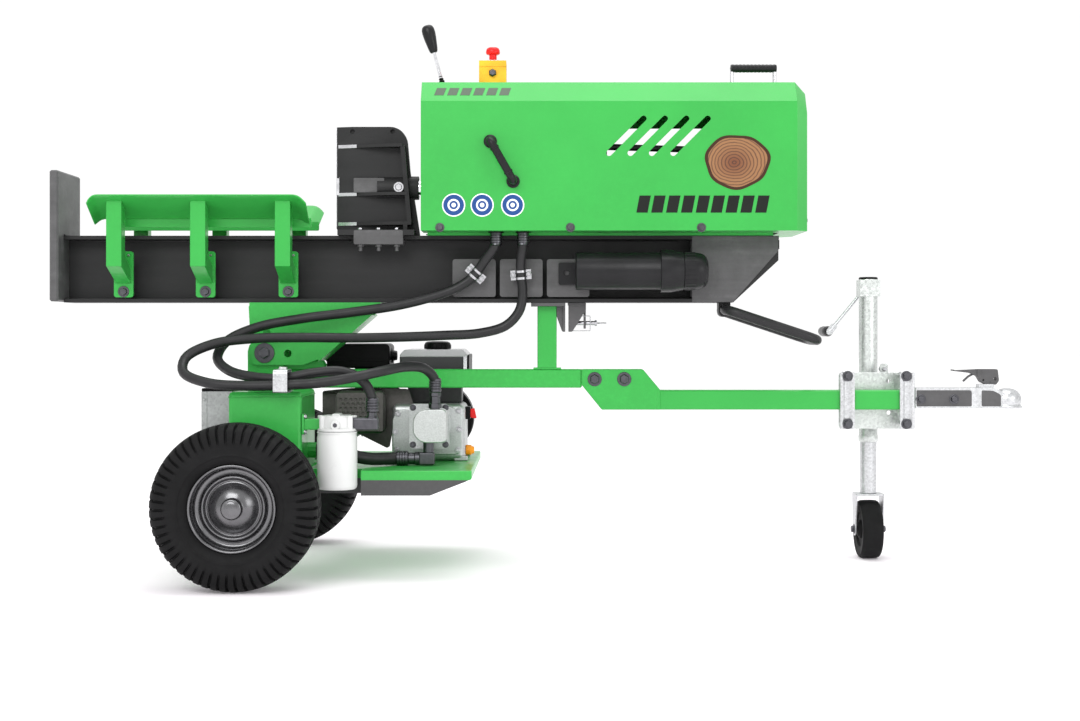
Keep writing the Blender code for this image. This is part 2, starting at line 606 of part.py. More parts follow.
def pump_parts():
    """Gear pump on its bell housing, with a pressure port above and a suction port below."""
    flange = slab(filleted([(-0.312, 0.302, 0.012), (-0.213, 0.302, 0.012),
                            (-0.213, 0.413, 0.012), (-0.312, 0.413, 0.012)]),
                  "XZ", -0.112, -0.102)
    bell = turned([(0.020, 0), (0.048, 0), (0.044, 0.088), (0.020, 0.088)],
                  (ENGINE_X, -0.1035, ENGINE_Z), (0, 1, 0), 24)
    shaft_bore = bar((ENGINE_X, -0.13, ENGINE_Z), (ENGINE_X, -0.08, ENGINE_Z), 0.020, 24)
    place(fuse(cut(flange, shaft_bore), bell), "pump_mount", "chassis", "dark_paint")

    radius = 0.0405
    body = slab(filleted([(ENGINE_X - radius, ENGINE_Z - radius, 0.034),
                          (ENGINE_X + radius, ENGINE_Z - radius, 0.006),
                          (ENGINE_X + radius, ENGINE_Z + radius, 0.006),
                          (ENGINE_X - radius, ENGINE_Z + radius, 0.034)], 5),
                "XZ", -0.190, -0.1125, 0.002)
    port_x = -0.2458
    port = bar((port_x, PUMP_Y, 0.39), (port_x, PUMP_Y, 0.443), 0.0135)
    drop = bar((-0.262, PUMP_Y, 0.335), (-0.262, PUMP_Y, 0.281), 0.0135)
    elbow = box((-0.285, -0.247), (PUMP_Y - 0.0155, PUMP_Y + 0.0155), (0.2655, 0.2965), 0.003)
    collar = bar((-0.310, PUMP_Y, 0.281), (-0.280, PUMP_Y, 0.281), 0.0165)
    place(fuse(body, port, drop, elbow, collar), "hydraulic_pump", "chassis", "cast_aluminium")


# ---------------------------------------------------------------- jack
def jack_parts():
    """Swivel jack: clamp plate, outer tube, telescoping leg, caster wheel and crank."""
    plate = box((0.780, 0.969), (0.0292, 0.0350), (0.343, 0.4876), 0.001)
    bars = [box(span, (-0.0325, -0.0265), (0.346, 0.489))
            for span in ((0.772, 0.8096), (0.923, 0.956))]
    bolts = [bar((x, -0.040, z), (x, 0.042, z), 0.006, 8)
             for x in (0.791, 0.9395) for z in (0.359, 0.480)]
    boss = bar((JACK_SWIVEL_X, 0.0320, JACK_SWIVEL_Z), (JACK_SWIVEL_X, 0.055, JACK_SWIVEL_Z),
               0.025, 20)
    place(fuse(plate, *bars, *bolts, boss), "jack_mount", "chassis", "zinc")

    bottom, top = 0.304, 0.7315
    tube = turned([(0.0222, 0), (0.0240, 0), (0.0240, top - bottom), (0, top - bottom),
                   (0, top - bottom - 0.004), (0.0222, top - bottom - 0.004)],
                  (JACK_X, JACK_Y, bottom), (0, 0, 1), 20)
    flange = bar((JACK_SWIVEL_X, 0.0555, JACK_SWIVEL_Z), (JACK_SWIVEL_X, 0.063, JACK_SWIVEL_Z),
                 0.038, 20)
    saddle = box((0.846, 0.898), (0.060, 0.090), (0.385, 0.455), 0.002)
    lock_arm = box((0.892, 0.912), (0.0555, 0.061), (0.430, 0.510), 0.001)
    lock_x, _, lock_z = BODY_ORIGINS["jack_lock"]
    lock_hole = bar((lock_x, 0.050, lock_z), (lock_x, 0.066, lock_z), 0.0052, 12)
    gearbox = box((0.846, 0.898), (0.084, 0.1365), (0.684, 0.727), 0.004)
    clearance = bar((JACK_X, JACK_Y, bottom - 0.01), (JACK_X, JACK_Y, top - 0.004), 0.0222, 20)
    crank_hole = bar((CRANK_X, 0.128, CRANK_Z), (CRANK_X, 0.145, CRANK_Z), 0.0075, 12)
    jack_tube = cut(fuse(tube, flange, saddle, lock_arm, gearbox), clearance, lock_hole, crank_hole)
    place(jack_tube, "jack_tube", "jack", "zinc")

    lock = bar((lock_x, 0.036, lock_z), (lock_x, 0.074, lock_z), 0.0045, 12)
    knob = bar((lock_x, 0.070, lock_z), (lock_x, 0.081, lock_z), 0.009, 14)
    place(fuse(lock, knob), "jack_pull_pin", "jack_lock", "zinc")

    leg = turned([(0, 0), (0.0214, 0), (0.0214, 0.410), (0, 0.410)],
                 (JACK_X, JACK_Y, 0.1705), (0, 0, 1), 20)
    place(leg, "jack_leg_tube", "jack_leg", "zinc")

    bridge = box((JACK_X - 0.037, JACK_X + 0.037), (JACK_Y - 0.030, JACK_Y + 0.030),
                 (0.1650, 0.1700))
    cheeks = [slab(filleted([(JACK_Y - 0.028, 0.1660), (JACK_Y - 0.012, 0.060, 0.012),
                             (JACK_Y + 0.012, 0.060, 0.012), (JACK_Y + 0.028, 0.1660)]),
                   "YZ", low, low + 0.004)
              for low in (JACK_X - 0.037, JACK_X + 0.033)]
    spindle = bar((JACK_X - 0.045, JACK_Y, JACK_WHEEL_RADIUS),
                  (JACK_X + 0.045, JACK_Y, JACK_WHEEL_RADIUS), 0.006, 16)
    place(fuse(bridge, *cheeks, spindle), "jack_fork", "jack_caster", "zinc")

    half = JACK_WHEEL_WIDTH / 2
    roller = turned([(0.0066, -half), (0.024, -half), (0.060, 0.004 - half),
                     (0.071, 0.002 - half), (JACK_WHEEL_RADIUS, 0.010 - half),
                     (JACK_WHEEL_RADIUS, half - 0.010), (0.071, half - 0.002),
                     (0.060, half - 0.004), (0.024, half), (0.0066, half)],
                    BODY_ORIGINS["jack_roller"], (1, 0, 0), 24)
    place(roller, "jack_wheel", "jack_roller", "black_plastic")

    arm_end = (0.781, 0.595)
    shaft = bar((CRANK_X, 0.1335, CRANK_Z), (CRANK_X, 0.158, CRANK_Z), 0.0068, 12)
    across = Vector((arm_end[0] - CRANK_X, arm_end[1] - CRANK_Z)).normalized().orthogonal() * 0.010
    centre_points = (Vector((CRANK_X, CRANK_Z)), Vector(arm_end))
    arm = slab([centre_points[0] + across, centre_points[0] - across,
                centre_points[1] - across, centre_points[1] + across],
               "XZ", 0.152, 0.158, 0.001)
    grip = turned([(0, 0), (0.010, 0), (0.014, 0.012), (0.013, 0.085), (0.009, 0.100), (0, 0.100)],
                  (arm_end[0] + 0.006, 0.157, arm_end[1] + 0.007), (0, 1, 0), 16)
    place(fuse(arm, shaft, grip), "jack_crank", "jack_handle", "zinc")


# ---------------------------------------------------------------- coupler
def coupler_parts():
    """Ball coupler over the tongue's end, with its latch lever."""
    ball_x, nose_radius = COUPLER_NOSE - 0.037, 0.037
    channel = box((COUPLER_LEFT, ball_x), (-0.0285, 0.0285), (COUPLER_BOTTOM, COUPLER_TOP), 0.004)
    nose = turned([(0, 0), (nose_radius - 0.003, 0), (nose_radius, 0.003), (nose_radius, 0.044),
                   (nose_radius - 0.008, 0.052), (0, 0.052)],
                  (ball_x, 0, COUPLER_BOTTOM), (0, 0, 1), 28)
    inside = box((COUPLER_LEFT - 0.01, 1.125), (-0.0215, 0.0215), (0.380, 0.4430))
    socket = turned([(0, 0), (0.0262, 0), (0.0262, 0.036), (0.017, 0.044), (0, 0.044)],
                    (ball_x, 0, COUPLER_BOTTOM - 0.005), (0, 0, 1), 24)
    post = box((1.128, 1.166), (-0.016, 0.016), (COUPLER_TOP - 0.003, 0.459), 0.001)
    place(cut(fuse(channel, nose, post), inside, socket), "coupler_body", "chassis", "dark_paint")

    block = slab(filleted([(1.118, 0.4600, 0.003), (1.174, 0.4600, 0.006), (1.174, 0.497, 0.010),
                           (1.118, 0.497, 0.004)]), "XZ", -0.014, 0.014, 0.002)
    lever = slab([(1.0585, 0.4905), (1.120, 0.468), (1.125, 0.476), (1.060, 0.4990)],
                 "XZ", -0.012, 0.012, 0.001)
    place(fuse(block, lever), "coupler_latch", "hitch_lever", "plate_paint")


# ---------------------------------------------------------------- beam
def beam_parts():
    """Splitting beam with its foot plate, pivot bracket, latch and lifting handle."""
    inner = BEAM_HALF_WIDTH
    web = WEB / 2
    section = [(-inner, BEAM_BOTTOM), (inner, BEAM_BOTTOM), (inner, BEAM_BOTTOM + FLANGE),
               (web, BEAM_BOTTOM + FLANGE), (web, BEAM_TOP - FLANGE), (inner, BEAM_TOP - FLANGE),
               (inner, BEAM_TOP), (-inner, BEAM_TOP), (-inner, BEAM_TOP - FLANGE),
               (-web, BEAM_TOP - FLANGE), (-web, BEAM_BOTTOM + FLANGE),
               (-inner, BEAM_BOTTOM + FLANGE)]
    girder = slab(section, "YZ", BEAM_LEFT, BEAM_RIGHT)
    plates = [box((0.395, BEAM_RIGHT - 0.001), (min(a, b), max(a, b)),
                  (BEAM_BOTTOM + 0.004, BEAM_TOP - 0.004))
              for a, b in ((-0.0515, -0.0455), (0.0455, 0.0515))]
    handle_tab = slab(filleted([(0.466, 0.630, 0.012), (0.496, 0.630, 0.012), (0.496, 0.668),
                                (0.466, 0.668)]), "XZ", -0.020, 0.020)
    nose_cut = slab([(0.499, 0.640), (0.640, 0.640), (0.640, 0.7972), (0.499, BEAM_BOTTOM)],
                    "XZ", -0.2, 0.2)
    tab_hole = bar((0.481, -0.03, 0.647), (0.481, 0.03, 0.647), 0.0130, 16)
    place(cut(fuse(girder, *plates, handle_tab), nose_cut, tab_hole),
          "splitting_beam", "beam", "dark_paint")

    foot = box((FOOT_PLATE_LEFT, BEAM_LEFT - GAP), (-0.100, 0.100), (0.668, 0.995), 0.004)
    place(foot, "foot_plate", "beam", "dark_paint")

    cheek = filleted([(-0.718, 0.660, 0.006), (-0.710, 0.509, 0.012), (-0.582, 0.509, 0.010),
                      (-0.544, 0.523), (-0.414, 0.637), (-0.386, 0.660)])
    cheeks = [slab(cheek, "XZ", low, low + 0.007) for low in (-0.0715, 0.0645)]
    top = box((-0.716, -0.388), (-0.0715, 0.0715), (0.6585, BEAM_BOTTOM - GAP))
    flange = slab([(-0.545, 0.5235), (-0.413, 0.6390), (-0.4085, 0.6340), (-0.5405, 0.5185)],
                  "XZ", -0.0715, 0.0715)
    pivot_hole = bar((PIVOT_X, -0.1, PIVOT_Z), (PIVOT_X, 0.1, PIVOT_Z), PIVOT_BOLT_RADIUS + 0.0005)
    holes = [bar((x, -0.1, z), (x, 0.1, z), radius)
             for x, z, radius in ((-0.620, 0.538, 0.010), (-0.672, 0.591, 0.009))]
    place(cut(fuse(top, *cheeks, flange), pivot_hole, *holes),
          "pivot_bracket", "beam", "green_paint")

    bolt = turned([(0, -0.083), (0.014, -0.083), (0.014, -0.0755), (0.025, -0.0752),
                   (0.025, -0.0720), (PIVOT_BOLT_RADIUS, -0.0720), (PIVOT_BOLT_RADIUS, 0.0720),
                   (0.025, 0.0720), (0.025, 0.0752), (0.014, 0.0755), (0.014, 0.084),
                   (0, 0.084)], (PIVOT_X, 0, PIVOT_Z), (0, 1, 0), 16)
    place(bolt, "pivot_bolt", "beam", "zinc")

    base = box((0.084, 0.129), (-0.030, 0.030), (0.6585, BEAM_BOTTOM - GAP))
    tongue = box((0.0855, 0.0930), (-0.026, 0.026), (0.592, 0.661))
    guide = box((0.1240, 0.1290), (-0.018, 0.018), (0.600, 0.661))
    pin_hole = bar((0.07, 0, 0.614), (0.14, 0, 0.614), 0.0062)
    place(cut(fuse(base, tongue, guide), pin_hole), "latch_bracket", "beam", "dark_paint")
    pin = bar((0.0868, 0, 0.614), (0.158, 0, 0.614), 0.0055)
    ring = bent_tube([(0.154, 0, 0.614), (0.168, -0.014, 0.614), (0.184, 0, 0.614),
                      (0.168, 0.014, 0.614)], 0.0016, 0.006, True, 8, 3)
    place(fuse(pin, ring), "latch_pin", "latch_pin", "zinc")

    handle = bent_tube([(0.481, -0.080, 0.647), (0.710, -0.080, 0.5710), (0.710, 0.080, 0.5710),
                        (0.481, 0.080, 0.647)], 0.0125, 0.034, True, 12)
    place(handle, "tilt_handle", "beam", "black_plastic")


def cradle_parts():
    """A log tray on three bent arms along each side of the beam."""
    tray = [(-0.180, 0.928), (-0.070, 0.875), (-0.070, 0.854), (-0.0732, 0.854),
            (-0.0732, 0.8732), (-0.1812, 0.9252)]
    arm = [(-0.157, 0.9145), (-0.119, 0.8962), (-0.119, 0.779), (-0.0600, 0.7545),
           (-0.0600, 0.7129), (-0.157, 0.753)]
    for side_name, flip in (("left", list), ("right", mirrored_y)):
        solids = [slab(flip(tray), "YZ", -1.096, -0.5575)]
        for centre in (-1.034, -0.828, -0.620):
            solids.append(slab(flip(arm), "YZ", centre - 0.019, centre + 0.019))
            near, far = sorted(point[0] for point in flip([(-0.0620,), (-0.0530,)]))
            solids.append(box((centre - 0.0245, centre + 0.0245), (near, far), (0.678, 0.794)))
        place(fuse(*solids), side_name + "_log_tray", "beam", "green_paint")


def wedge_parts():
    """Splitting wedge with its side ribs, riding the beam on gibs, and the cylinder rod."""
    front, back = -0.506, -0.293
    outline = filleted([(front, 0.856), (-0.496, 0.8360), (back, 0.8360), (-0.318, 1.000),
                        (-0.338, 1.113, 0.050), (front, 1.113, 0.003)], 5)
    blade = slab(outline, "XZ", -0.0125, 0.0125)
    ribs = []
    for low, high in ((1.059, 1.067), (0.937, 0.945), (0.862, 0.870)):
        rib = [(front + 0.006, -0.003), (-0.450, -0.018), (-0.380, -0.044), (-0.315, -0.052),
               (-0.315, 0.052), (-0.380, 0.044), (-0.450, 0.018), (front + 0.006, 0.003)]
        ribs.append(slab(rib, "XY", low, high))
    spine = slab([(-0.322, 0.866), (-0.311, 0.866), (-0.329, 1.063), (-0.340, 1.063)],
                 "XZ", -0.050, 0.050)
    hub = bar((-0.400, 0, CYLINDER_Z), (-0.296, 0, CYLINDER_Z), 0.030, 20)
    base = box((-0.495, -0.303), (-0.0755, 0.0755), (BEAM_TOP + GAP, 0.848))
    gibs = []
    for side in (-1, 1):
        outer = sorted((side * 0.0755, side * 0.0528))
        under = sorted((side * 0.0755, side * 0.0300))
        gibs.append(box((-0.454, -0.331), outer, (0.811, 0.847)))
        gibs.append(box((-0.454, -0.331), under, (0.811, BEAM_TOP - FLANGE - GAP)))
    bevel_cuts = [slab([(front - 0.002, side * 0.0008), (-0.462, side * 0.0128),
                        (-0.462, side * 0.03), (front - 0.002, side * 0.03)], "XY", 0.5, 1.2)
                  for side in (-1, 1)]
    blade = cut(blade, *bevel_cuts)
    rod_bore = bar((-0.350, 0, CYLINDER_Z), (-0.27, 0, CYLINDER_Z), ROD_RADIUS + 0.0006, 20)
    lift_holes = [bar((x, -0.1, 1.101), (x, 0.1, 1.101), 0.006, 12) for x in (-0.464, -0.348)]
    place(cut(fuse(blade, *ribs, spine, hub, base, *gibs), rod_bore, *lift_holes),
          "wedge_head", "ram", "dark_paint")

    rod = turned([(0, -0.349), (ROD_RADIUS, -0.349), (ROD_RADIUS, 0.540), (BORE_RADIUS - 0.0006, 0.540),
                  (BORE_RADIUS - 0.0006, 0.575), (0, 0.575)], (0, 0, CYLINDER_Z), (1, 0, 0), 20)
    place(rod, "piston_rod", "ram", "chrome")


def cylinder_parts():
    """Hollow hydraulic cylinder on two feet, and the control valve standing on it."""
    barrel = turned([(ROD_RADIUS + 0.0006, CYLINDER_LEFT), (0.058, CYLINDER_LEFT), (0.058, -0.190),
                     (CYLINDER_RADIUS, -0.185), (CYLINDER_RADIUS, CYLINDER_RIGHT),
                     (0, CYLINDER_RIGHT), (0, 0.590), (BORE_RADIUS, 0.590),
                     (BORE_RADIUS, -0.190), (ROD_RADIUS + 0.0006, -0.190)],
                    (0, 0, CYLINDER_Z), (1, 0, 0), 20)
    feet = [box((x, x + 0.040), (-0.035, 0.035), (BEAM_TOP + GAP, 0.912)) for x in (-0.175, 0.540)]
    place(fuse(barrel, *feet), "hydraulic_cylinder", "beam", "dark_paint")

    pivot_x, pivot_y, pivot_z = BODY_ORIGINS["valve_lever"]
    pedestal = box((-0.215, -0.165), (-0.030, 0.030), (CYLINDER_Z + 0.0595, 1.110))
    valve = box((-0.262, -0.120), (-0.085, -0.015), (1.100, 1.165), 0.004)
    place(fuse(valve, pedestal), "control_valve", "beam", "cast_aluminium")
    lean = Vector((-0.264 + 0.226, 0, 1.331 - pivot_z)).normalized()
    foot = Vector((pivot_x, pivot_y, pivot_z)) - lean * 0.020
    neck = Vector((pivot_x, pivot_y, pivot_z)) + lean * 0.112
    stem = bar(foot, neck, 0.0055, 12)
    knob = turned([(0, 0), (0.010, 0), (0.0135, 0.012), (0.0165, 0.050), (0.013, 0.066),
                   (0.006, 0.0705), (0, 0.0705)], neck - lean * 0.003, lean, 16)
    place(fuse(stem, knob), "control_lever", "valve_lever", "black_plastic")


def shell_block(inset, left, floor):
    """The cover's outer form, shrunk by a wall thickness all round."""
    half, top_half = COVER_HALF_WIDTH - inset, COVER_TOP_HALF_WIDTH - inset * 0.5
    shoulder, top = COVER_SHOULDER - inset * 0.4, COVER_TOP - inset
    section = [(-half, floor), (-half, shoulder), (-top_half, top), (top_half, top),
               (half, shoulder), (half, floor)]
    nose_scale = 0.80
    bm = bmesh.new()
    rings = []
    for x, scale, drop in ((left, 1.0, 0.0), (COVER_RIGHT - inset * 0.4, 1.0, 0.0),
                           (COVER_NOSE - inset, nose_scale, 0.026)):
        rings.append([bm.verts.new((x, y * scale, z - (drop if z > 1.0 else 0.0)))
                      for y, z in section])
    count = len(section)
    for ring, following in zip(rings, rings[1:]):
        for index in range(count):
            after = (index + 1) % count
            bm.faces.new((ring[index], ring[after], following[after], following[index]))
    bm.faces.new(rings[0])
    bm.faces.new(rings[-1])
    return solid_from(bm)


def cover_parts():
    """Sheet-metal machine cover over the cylinder and valve, with what is fixed to it."""
    shell = shell_block(0.0, COVER_LEFT, COVER_BOTTOM)
    inside = shell_block(SHEET, COVER_LEFT - 0.02, COVER_BOTTOM + SHEET)
    shell = cut(shell, inside)
    rails = [box((COVER_LEFT + 0.01, COVER_RIGHT - 0.045), sorted((side * 0.0440, side * 0.0510)),
                 (BEAM_TOP + GAP, COVER_BOTTOM + SHEET - 0.001)) for side in (-1, 1)]
    floor_gap = box((COVER_LEFT - 0.02, COVER_RIGHT - 0.030), (-0.0440, 0.0440), (0.80, 0.860))
    slots = []
    for number in range(4):
        x, z, run, half = 0.178 + number * 0.0526, 1.0275, 0.0930, 0.0052
        slots.append(slab([(x - half, z), (x + half, z), (x + run + half, z + run),
                           (x + run - half, z + run)], "XZ", -0.2, -0.1))
    window = box((0.190, 0.470), (0.10, 0.2), (1.035, 1.128))
    lever_x, lever_y, _ = BODY_ORIGINS["valve_lever"]
    lever_slot = box((lever_x - 0.032, lever_x + 0.022), (lever_y - 0.011, lever_y + 0.011),
                     (1.19, 1.23))
    place(cut(fuse(shell, *rails), floor_gap, *slots, window, lever_slot),
          "machine_cover", "beam", "green_paint")

    near = -COVER_HALF_WIDTH - GAP
    side_handle = bent_tube([(-0.110, near, 1.060), (-0.110, near - 0.036, 1.060),
                             (-0.054, near - 0.036, 0.962), (-0.054, near, 0.962)],
                            0.0095, 0.012, False, 10)
    place(side_handle, "side_handle", "beam", "black_plastic")

    top = COVER_TOP + GAP
    top_handle = bent_tube([(0.496, -0.050, top), (0.496, -0.050, 1.2552), (0.603, -0.050, 1.2552),
                            (0.603, -0.050, top)], 0.0084, 0.012, False, 10)
    place(top_handle, "top_handle", "beam", "black_plastic")

    button_x, button_y, button_z = BODY_ORIGINS["stop_button"]
    stop_box = box((-0.140, -0.072), (-0.084, -0.016), (top, button_z), 0.003)
    socket = bar((button_x, button_y, 1.25), (button_x, button_y, 1.28), 0.0105)
    place(cut(stop_box, socket), "stop_switch_box", "beam", "yellow_plastic")
    button = turned([(0, -0.008), (0.0095, -0.008), (0.0095, 0.021), (0.0165, 0.0215),
                     (0.0165, 0.034), (0.0135, 0.038), (0, 0.038)],
                    (button_x, button_y, button_z), (0, 0, 1), 20)
    place(button, "stop_button", "stop_button", "red_plastic")


def canister_parts():
    """Document canister along the beam's side, with its screw lid."""
    lid_x, y, z = BODY_ORIGINS["canister_lid"]
    canister = turned([(0, 0.101), (0.042, 0.101), (0.0465, 0.106), (0.0465, 0.312),
                       (0.053, 0.312), (0.053, 0.357), (0.046, lid_x - GAP), (0.042, lid_x - GAP),
                       (0.042, 0.110), (0, 0.110)], (0, y, z), (1, 0, 0), 24)
    lug = box((0.059, 0.112), (y + 0.034, y + 0.040), (0.7105, 0.7655), 0.001)
    lug_hole = bar((0.079, y, z - 0.003), (0.079, 0.0, z - 0.003), 0.0065, 12)
    foot = box((0.140, 0.290), (y + 0.030, -BEAM_HALF_WIDTH - GAP), (z - 0.020, z + 0.020))
    keep_bore = bar((0.110, y, z), (lid_x + 0.01, y, z), 0.042, 24)
    place(cut(fuse(canister, lug, foot), lug_hole, keep_bore),
          "manual_canister", "beam", "black_plastic")
    lid = turned([(0, 0), (0.0465, 0), (0.0465, 0.030), (0.043, 0.050), (0.030, 0.060), (0, 0.062)],
                 (lid_x, y, z), (1, 0, 0), 24)
    place(lid, "canister_lid", "canister_lid", "black_plastic")


def hose_parts():
    place(hose(RETURN_HOSE_ROUTE, HOSE_RADIUS), "return_hose", "chassis", "rubber")
    place(hose(PRESSURE_HOSE_ROUTE, HOSE_RADIUS), "pressure_hose", "chassis", "rubber")
    place(hose(SUCTION_HOSE_ROUTE, SUCTION_HOSE_RADIUS), "suction_hose", "chassis", "rubber")


make_bodies()
wheel_parts()
axle()
frame_parts()
tray_parts()
tank_parts()
engine_parts()
pump_parts()
jack_parts()
coupler_parts()
beam_parts()
cradle_parts()
wedge_parts()
cylinder_parts()
cover_parts()
canister_parts()
hose_parts()
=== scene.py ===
import math

import bmesh
import bpy
from mathutils import Matrix, Vector


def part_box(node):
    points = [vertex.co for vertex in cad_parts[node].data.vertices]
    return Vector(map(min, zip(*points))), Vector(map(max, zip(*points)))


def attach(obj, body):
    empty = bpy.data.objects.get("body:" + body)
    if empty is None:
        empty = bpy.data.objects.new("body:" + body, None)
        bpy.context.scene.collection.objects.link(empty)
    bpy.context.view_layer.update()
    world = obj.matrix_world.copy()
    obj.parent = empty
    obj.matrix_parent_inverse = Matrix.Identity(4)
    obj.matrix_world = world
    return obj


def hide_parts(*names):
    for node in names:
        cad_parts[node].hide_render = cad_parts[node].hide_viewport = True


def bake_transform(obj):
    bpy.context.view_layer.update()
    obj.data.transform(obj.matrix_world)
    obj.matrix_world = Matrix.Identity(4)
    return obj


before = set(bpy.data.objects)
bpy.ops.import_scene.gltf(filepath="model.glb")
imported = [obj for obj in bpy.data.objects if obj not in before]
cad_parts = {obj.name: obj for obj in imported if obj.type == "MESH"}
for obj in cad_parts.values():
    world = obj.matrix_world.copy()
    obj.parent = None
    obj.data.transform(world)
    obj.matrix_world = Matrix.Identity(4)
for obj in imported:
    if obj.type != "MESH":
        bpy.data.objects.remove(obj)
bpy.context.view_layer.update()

FOOT_PLATE_TO_DATUM = 1.209
DATUM_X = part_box("foot_plate")[0][0] + FOOT_PLATE_TO_DATUM      # all shapes are drawn from here
RIGHT, AWAY, NEAR, UP = (1, 0, 0), (0, 1, 0), (0, -1, 0), (0, 0, 1)
BEVEL_ANGLE, FINE_STEPS = 35, 24


# ================================================================ geometry tools
def new_object(bm, name, bevel=0.0, segments=2, smooth=32.0):
    """An object from a bmesh, its normals out, with an optional bevel modifier."""
    bmesh.ops.recalc_face_normals(bm, faces=bm.faces)
    mesh = bpy.data.meshes.new(name)
    bm.to_mesh(mesh)
    bm.free()
    piece = bpy.data.objects.new(name, mesh)
    bpy.context.collection.objects.link(piece)
    return soften(piece, bevel, segments, smooth)


def soften(piece, bevel, segments=2, smooth=32.0):
    """Smooth shading with sharp edges kept, and a bevel of one width along them."""
    piece.data.shade_smooth()
    piece.data.set_sharp_from_angle(angle=math.radians(smooth))
    round_edges(piece, bevel, segments)
    return piece


def round_edges(piece, width, segments=2, angle=BEVEL_ANGLE, harden=True):
    """A bevel modifier on edges sharper than an angle; none if the width is nought."""
    if width <= 0.0:
        return
    rounding = piece.modifiers.new("edges", "BEVEL")
    rounding.width = width
    rounding.segments = segments
    rounding.limit_method = "ANGLE"
    rounding.angle_limit = math.radians(angle)
    rounding.harden_normals = harden


def block(name, low, high, bevel=0.0, segments=2):
    """A box between two corners."""
    bm = bmesh.new()
    bmesh.ops.create_cube(bm, size=1.0)
    low, high = Vector(low), Vector(high)
    for vert in bm.verts:
        vert.co = [low[i] + (vert.co[i] + 0.5) * (high[i] - low[i]) for i in range(3)]
    return new_object(bm, name, bevel, segments)


def filleted(corners, steps=6):
    """The outline through 2-D corners; a corner given as (u, v, radius) is rounded."""
    outline = []
    count = len(corners)
    for index, corner in enumerate(corners):
        here = Vector(corner[:2])
        if len(corner) == 2:
            outline.append(here)
            continue
        to_last = (Vector(corners[index - 1][:2]) - here).normalized()
        to_next = (Vector(corners[(index + 1) % count][:2]) - here).normalized()
        half = to_last.angle(to_next) / 2
        radius = corner[2]
        centre = here + (to_last + to_next).normalized() * (radius / math.sin(half))
        start = here + to_last * (radius / math.tan(half)) - centre
        turn = start.angle_signed(here + to_next * (radius / math.tan(half)) - centre)
        for step in range(steps + 1):
            angle = -turn * step / steps
            cosine, sine = math.cos(angle), math.sin(angle)
            outline.append(centre + Vector((start.x * cosine - start.y * sine,
                        start.x * sine + start.y * cosine)))
    return outline


def rounded_rect(low, high, radius):
    """A rectangle in 2-D with its four corners rounded."""
    return filleted([(low[0], low[1], radius), (high[0], low[1], radius), (high[0], high[1], radius),
            (low[0], high[1], radius)])


PLANES = {
    "XZ": lambda u, v, w: (u, w, v),
    "YZ": lambda u, v, w: (w, u, v),
    "XY": lambda u, v, w: (u, v, w),
}


def slab(name, outline, plane, low, high, bevel=0.0, segments=2):
    """A flat outline in one plane, extruded from low to high across it."""
    to_space = PLANES[plane]
    bm = bmesh.new()
    rings = [[bm.verts.new(to_space(u, v, level)) for u, v in outline] for level in (low, high)]
    bm.faces.new(rings[0])
    bm.faces.new(reversed(rings[1]))
    count = len(outline)
    for index in range(count):
        after = (index + 1) % count
        bm.faces.new((rings[0][index], rings[1][index], rings[1][after], rings[0][after]))
    return new_object(bm, name, bevel, segments)


def axis_frame(axis):
    """Two unit vectors square to an axis."""
    axis = Vector(axis).normalized()
    across = Vector(UP) if abs(axis.z) < 0.7 else Vector(RIGHT)
    across = (across - axis * across.dot(axis)).normalized()
    return axis, across, axis.cross(across)


def turned(name, profile, start, axis, segments=48, bevel=0.0, smooth=32.0):
    """A profile of (radius, distance along the axis) turned into a closed solid."""
    axis, across, other = axis_frame(axis)
    start = Vector(start)
    bm = bmesh.new()
    rings = []
    for radius, height in profile:
        middle = start + axis * height
        if radius == 0.0:
            rings.append([bm.verts.new(middle)])
            continue
        rings.append([bm.verts.new(middle + radius * (
            across * math.cos(math.tau * step / segments)
            + other * math.sin(math.tau * step / segments))) for step in range(segments)])
    for index, ring in enumerate(rings):
        following = rings[(index + 1) % len(rings)]
        if len(ring) == 1 and len(following) == 1:
            continue
        for step in range(segments):
            after = (step + 1) % segments
            corners = [ring[step % len(ring)], ring[after % len(ring)], following[after % len(following)],
                following[step % len(following)]]
            bm.faces.new(list(dict.fromkeys(corners)))
    return new_object(bm, name, bevel, 2, smooth)


def bar(name, start, end, radius, segments=24, bevel=0.0):
    """A round bar between two points."""
    start, end = Vector(start), Vector(end)
    length = (end - start).length
    return turned(name, [(0, 0), (radius, 0), (radius, length), (0, length)], start, end - start,
        segments, bevel)


def rod(name, place, plane, low, high, radius, segments=24, bevel=0.0):
    """A round bar square to one plane, from low to high across it."""
    to_space = PLANES[plane]
    return bar(name, to_space(*place, low), to_space(*place, high), radius, segments, bevel)


def sweep(name, path, radius, closed=False, sides=20, cap=True):
    """A tube along a path of points; radius is one value or one for each point."""
    path = [Vector(point) for point in path]
    count = len(path)
    radii = radius if isinstance(radius, (list, tuple)) else [radius] * count
    bm = bmesh.new()
    rings = []
    side = None
    for index, point in enumerate(path):
        before = path[index - 1] if closed or index else point
        after = path[(index + 1) % count] if closed or index < count - 1 else point
        along = (after - before).normalized()
        if side is None:
            side = axis_frame(along)[1]
        side = (side - along * side.dot(along)).normalized()
        other = along.cross(side)
        rings.append([bm.verts.new(point + radii[index] * (
            side * math.cos(math.tau * step / sides)
            + other * math.sin(math.tau * step / sides))) for step in range(sides)])
    for index in range(count if closed else count - 1):
        ring, following = rings[index], rings[(index + 1) % count]
        for step in range(sides):
            after = (step + 1) % sides
            bm.faces.new((ring[step], ring[after], following[after], following[step]))
    if not closed and cap:
        bm.faces.new(rings[0])
        bm.faces.new(rings[-1])
    return new_object(bm, name, 0.0, 2, 40.0)


